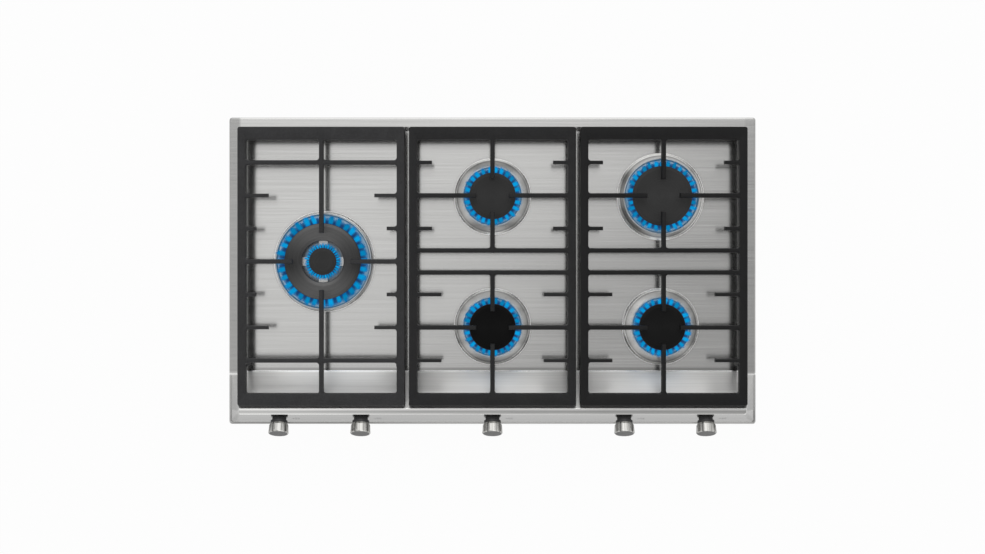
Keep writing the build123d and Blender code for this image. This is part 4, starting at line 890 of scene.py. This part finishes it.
class FinishBurners(CooktopOperator):
    """Finish the burner cups, heads, caps and spark electrodes"""

    bl_idname = "cooktop.finish_burners"
    bl_label = "Burners"

    def build(self, settings):
        alloy = burner_alloy("burner_alloy", settings.finish)
        # the triple's cup carries painted shade round its inner cap
        shaded_alloy = burner_alloy("alloy_hollow_shade", settings.finish, "burner_cap_triple_inner")
        for burner in BURNERS:
            give(f"burner_cup_{burner}", shaded_alloy if burner == "triple" else alloy)
            give(f"burner_head_{burner}", alloy)
        # the caps' tones hold painted light: rear caps lighter, front caps darker
        for cap, (tone, shine, turned_metal_and_sheen) in CAP_FINISHES_AND_PAINTED_LIGHT.items():
            node = f"burner_cap_{cap}"
            give(node, enamel_cap("enamel_" + cap, (tone, tone, tone), node, shine, turned_metal_and_sheen))
        glaze = (0.78, 0.76, 0.7)
        ceramic = plain_finish("electrode_ceramic", glaze, 0.25, scale=300, contrast=0.06)
        give("electrode_insulators", ceramic)
        wire = plain_finish("electrode_wire", (0.4, 0.38, 0.36), 0.35, metallic=1.0)
        give("electrode_rods", wire)


class FinishKnobs(CooktopOperator):
    """Finish the knobs, their collars, stems and taps"""

    bl_idname = "cooktop.finish_knobs"
    bl_label = "Knobs and taps"

    def build(self, settings):
        black = plain_finish("knob_core_black", settings.finish.black_plastic, 0.45, scale=700)
        brass = plain_finish("tap_brass", (0.72, 0.53, 0.26), 0.32, metallic=1.0, contrast=0.08)
        steel = plain_finish("stem_steel", (0.55, 0.55, 0.56), 0.28, metallic=1.0)
        chrome = settings.finish.chrome
        for number, place, axis in knob_hinges():
            # the barrels carry painted reflection streaks and a face painted dark for its
            # reflection
            metal = turned_finish(f"knob_metal_{number}", chrome, 0.2, place, axis, reflection_lines=0.85)
            give(f"knob_barrel_{number}", metal)
            give(f"knob_core_{number}", black)
            give(f"valve_stem_{number}", steel)
            give(f"valve_plug_{number}", brass)
        give("knob_collars", plain_finish("collar_rubber", (0.025, 0.025, 0.026), 0.7))
        give("valve_bodies", brass)


class FinishInside(CooktopOperator):
    """Finish the gas pipes, the ignition parts and the fasteners under the plate"""

    bl_idname = "cooktop.finish_inside"
    bl_label = "Inside and fasteners"

    def build(self, settings):
        pipe = plain_finish("drawn_aluminium", (0.68, 0.68, 0.69), 0.3, metallic=1.0)
        for node in ("gas_manifold", "gas_pipes"):
            give(node, pipe)
        brass = plain_finish("fitting_brass", (0.72, 0.53, 0.26), 0.3, metallic=1.0)
        for node in ("gas_inlet_elbow", "gas_jets"):
            give(node, brass)
        give("spark_module", plain_finish("module_plastic", (0.06, 0.06, 0.065), 0.5))
        sleeve = plain_finish("silicone_sleeve", (0.7, 0.68, 0.62), 0.55, contrast=0.05)
        give("ignition_leads", sleeve)
        give("cord_gland", plain_finish("gland_plastic", (0.02, 0.02, 0.02), 0.5))
        give("screws", plain_finish("zinc_plate", (0.6, 0.6, 0.58), 0.3, metallic=1.0))


class AddFlames(CooktopOperator):
    """Light every burner"""

    bl_idname = "cooktop.add_flames"
    bl_label = "Flames"

    def build(self, settings):
        flame = settings.flame
        colours = (flame.bright, flame.deep, flame.dark, flame.haze)
        bright, deep, dark, haze = (tuple(colour) for colour in colours)
        fire_alphas = ((0.0, 1.0), (0.65, 0.95), (0.85, 0.6), (1.0, 0.0))
        gap_alphas = ((0.0, 0.95), (0.6, 0.85), (0.85, 0.5), (1.0, 0.0))
        haze_alphas = ((0.0, 0.24), (0.45, 0.2), (1.0, 0.0))
        veil_alphas = ((0.0, 0.4), (0.6, 0.34), (0.85, 0.16), (1.0, 0.0))
        materials = (  # in the order of FIRE, GAP, HAZE and VEIL
            gas_flame("gas_flame", deep, bright, deep, fire_alphas),
            gas_flame("gas_flame_gap", dark, dark, deep, gap_alphas),
            gas_flame("gas_flame_haze", haze, haze, haze, haze_alphas),
            gas_flame("gas_flame_veil", deep, bright, deep, veil_alphas),
        )
        reaches = dict.fromkeys(BURNERS, flame.small_reach) | {"triple": flame.reach}
        rings = [(burner, burner, PORT_COUNTS[burner], reaches[burner]) for burner in BURNERS]
        rings.append(("triple_inner", "triple", INNER_PORTS, flame.inner_reach))
        for cap, burner, count, reach in rings:
            low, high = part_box(f"burner_cap_{cap}")
            radius = (high.x - low.x) / 2
            centre = (low + high) / 2
            centre.z = PORT_MIDDLE
            start = radius - PORT_INSET[cap]
            name = f"flames_{cap}"
            flame_ring(name, centre, start, radius, count, reach, flame, materials)


class AddMarkings(CooktopOperator):
    """Print a small plan of the burners beside each knob"""

    bl_idname = "cooktop.add_markings"
    bl_label = "Burner marks"

    def build(self, settings):
        ink = plain_finish("printed_ink", settings.finish.marking, 0.5, contrast=0.05)
        for number, place, outward in knob_hinges():
            right = Vector((1, 0, 0))
            up = outward.cross(right)
            plane = Matrix((right, up, outward)).transposed().to_4x4()
            plane.translation = place + right * MARK_FROM_KNOB
            work = bmesh.new()
            for burner, (x, y) in MARK_PLACES.items():
                hole = 0.0 if burner == KNOB_BURNERS[number] else MARK_HOLE
                disc(work, plane, x * MM, y * MM, MARK_RADIUS, hole)
            mesh = bpy.data.meshes.new(f"burner_mark_{number}")
            work.to_mesh(mesh)
            work.free()
            new_piece(f"burner_mark_{number}", mesh, "root", ink)


def where_seen(m):
    """1 for camera, glossy and transmission rays, otherwise 0."""
    path = m.add("LightPath").outputs
    first = m.maths("MAXIMUM", path["Is Camera Ray"], path["Is Glossy Ray"])
    return m.maths("MAXIMUM", first, path["Is Transmission Ray"])


class BuildStudio(CooktopOperator):
    """Set up the floor, lamps, world and camera"""

    bl_idname = "cooktop.build_studio"
    bl_label = "Studio"

    def build(self, settings):
        studio = settings.studio
        self.floor(studio)
        self.world(studio)
        self.lamp("key_lamp", KEY_PLACE, KEY_SIZE, studio.key_power)
        self.lamp("front_lamp", FRONT_PLACE, FRONT_SIZE, studio.fill_power)
        data = bpy.data.cameras.new("photo_camera")
        data.sensor_width = SENSOR
        data.lens = studio.focal_length
        data.shift_y = (studio.axis_row - PHOTO_HEIGHT / 2) / PHOTO_WIDTH
        camera = bpy.data.objects.new("photo_camera", data)
        camera.location = (0, studio.camera_y, studio.camera_height)
        bpy.context.scene.collection.objects.link(camera)
        bpy.context.scene.camera = camera
        bpy.context.scene.view_settings.view_transform = "Standard"

    def floor(self, studio):
        """Pale floor that the box under the plate stands on."""
        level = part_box("burner_box")[0].z - FLOOR_GAP
        mesh = bpy.data.meshes.new("floor")
        signs = ((-1, -1), (1, -1), (1, 1), (-1, 1))
        corners = [(x * FLOOR_HALF, y * FLOOR_HALF, level) for x, y in signs]
        mesh.from_pydata(corners, [], [(0, 1, 2, 3)])
        m = NodeMaterial("pale_floor", Roughness=0.9, Specular_IOR_Level=0.0)
        speck = m.noise((30, 30, 30), detail=2)
        pale, paler = scaled(studio.floor, 0.985), scaled(studio.floor, 1.015)
        m.set("Base Color", m.blend(speck, pale, paler))
        glow = m.add("Emission", {"Color": (1, 1, 1, 1), "Strength": 1.0})
        share = m.maths("MULTIPLY", where_seen(m), FLOOR_GLOW)
        mix = m.add("MixShader", {0: share, 1: m.shader.outputs[0], 2: glow.outputs[0]})
        m.link(mix.outputs[0], m.tree.nodes["Material Output"].inputs["Surface"])
        mesh.materials.append(m.material)
        floor = bpy.data.objects.new("floor", mesh)
        bpy.context.scene.collection.objects.link(floor)

    def world(self, studio):
        """White to the camera and in reflections, dimmer as a light."""
        world = bpy.data.worlds.new("studio")
        bpy.context.scene.world = world
        world.use_nodes = True
        tree = world.node_tree
        back = tree.nodes["Background"]
        back.inputs["Color"].default_value = (1, 1, 1, 1)
        n = Nodes(tree)
        path = n.add("LightPath").outputs
        direction = n.add("TexCoord").outputs["Generated"]
        across = n.vector("DOT_PRODUCT", direction, SHADE_ACROSS, output="Value")
        upwards = n.vector("DOT_PRODUCT", direction, (0.0, 0.0, 1.0), output="Value")
        front_right = n.span(across, 1.0, 0.0, *SHADE_EDGE, shape="SMOOTHSTEP")
        overhead = n.span(upwards, 0.0, 1.0, *OVERHEAD, shape="SMOOTHSTEP")
        dimming = n.maths("MULTIPLY", n.maths("MULTIPLY", front_right, overhead), studio.shade)
        mirrored = n.maths("MULTIPLY", path["Is Glossy Ray"], n.maths("SUBTRACT", 1.0, dimming))
        straight = n.maths("MAXIMUM", path["Is Camera Ray"], path["Is Transmission Ray"])
        white = n.maths("MAXIMUM", straight, mirrored)
        n.link(n.maths("MAXIMUM", white, studio.room_light), back.inputs["Strength"])

    def lamp(self, name, place, size, power):
        """A large soft lamp aimed at the cooktop."""
        data = bpy.data.lights.new(name, "AREA")
        data.size = size
        data.energy = power
        lamp = bpy.data.objects.new(name, data)
        lamp.location = place
        lamp.rotation_euler = (-Vector(place)).to_track_quat("-Z", "Y").to_euler()
        bpy.context.scene.collection.objects.link(lamp)


class CooktopPanel(bpy.types.Panel):
    """Lists the cooktop's operators and settings."""

    bl_idname = "VIEW3D_PT_cooktop"
    bl_label = "Gas Cooktop"
    bl_space_type = "VIEW_3D"
    bl_region_type = "UI"
    bl_category = "Cooktop"

    def draw(self, context):
        for operator in OPERATORS:
            self.layout.operator(operator.bl_idname)
        for name in ("finish", "flame", "studio"):
            group = getattr(context.scene.cooktop, name)
            box = self.layout.box()
            for setting in group.__annotations__:
                box.prop(group, setting)


OPERATORS = (
    FinishPlate,
    FinishSupports,
    FinishBurners,
    FinishKnobs,
    FinishInside,
    AddFlames,
    AddMarkings,
    BuildStudio,
)
SETTINGS = (FinishSettings, FlameSettings, StudioSettings, CooktopSettings)
CLASSES = SETTINGS + OPERATORS + (CooktopPanel,)


def register():
    """Registers the classes and the settings."""
    for entry in CLASSES:
        bpy.utils.register_class(entry)
    bpy.types.Scene.cooktop = PointerProperty(type=CooktopSettings)


def unregister():
    """Removes the settings and the classes."""
    del bpy.types.Scene.cooktop
    for entry in reversed(CLASSES):
        bpy.utils.unregister_class(entry)


def main():
    """Builds everything in order."""
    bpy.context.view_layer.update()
    register()
    bpy.ops.cooktop.finish_plate()
    bpy.ops.cooktop.finish_supports()
    bpy.ops.cooktop.finish_burners()
    bpy.ops.cooktop.finish_knobs()
    bpy.ops.cooktop.finish_inside()
    bpy.ops.cooktop.add_flames()
    bpy.ops.cooktop.add_markings()
    bpy.ops.cooktop.build_studio()
    bpy.context.view_layer.update()


if __name__ == "__main__":
    main()
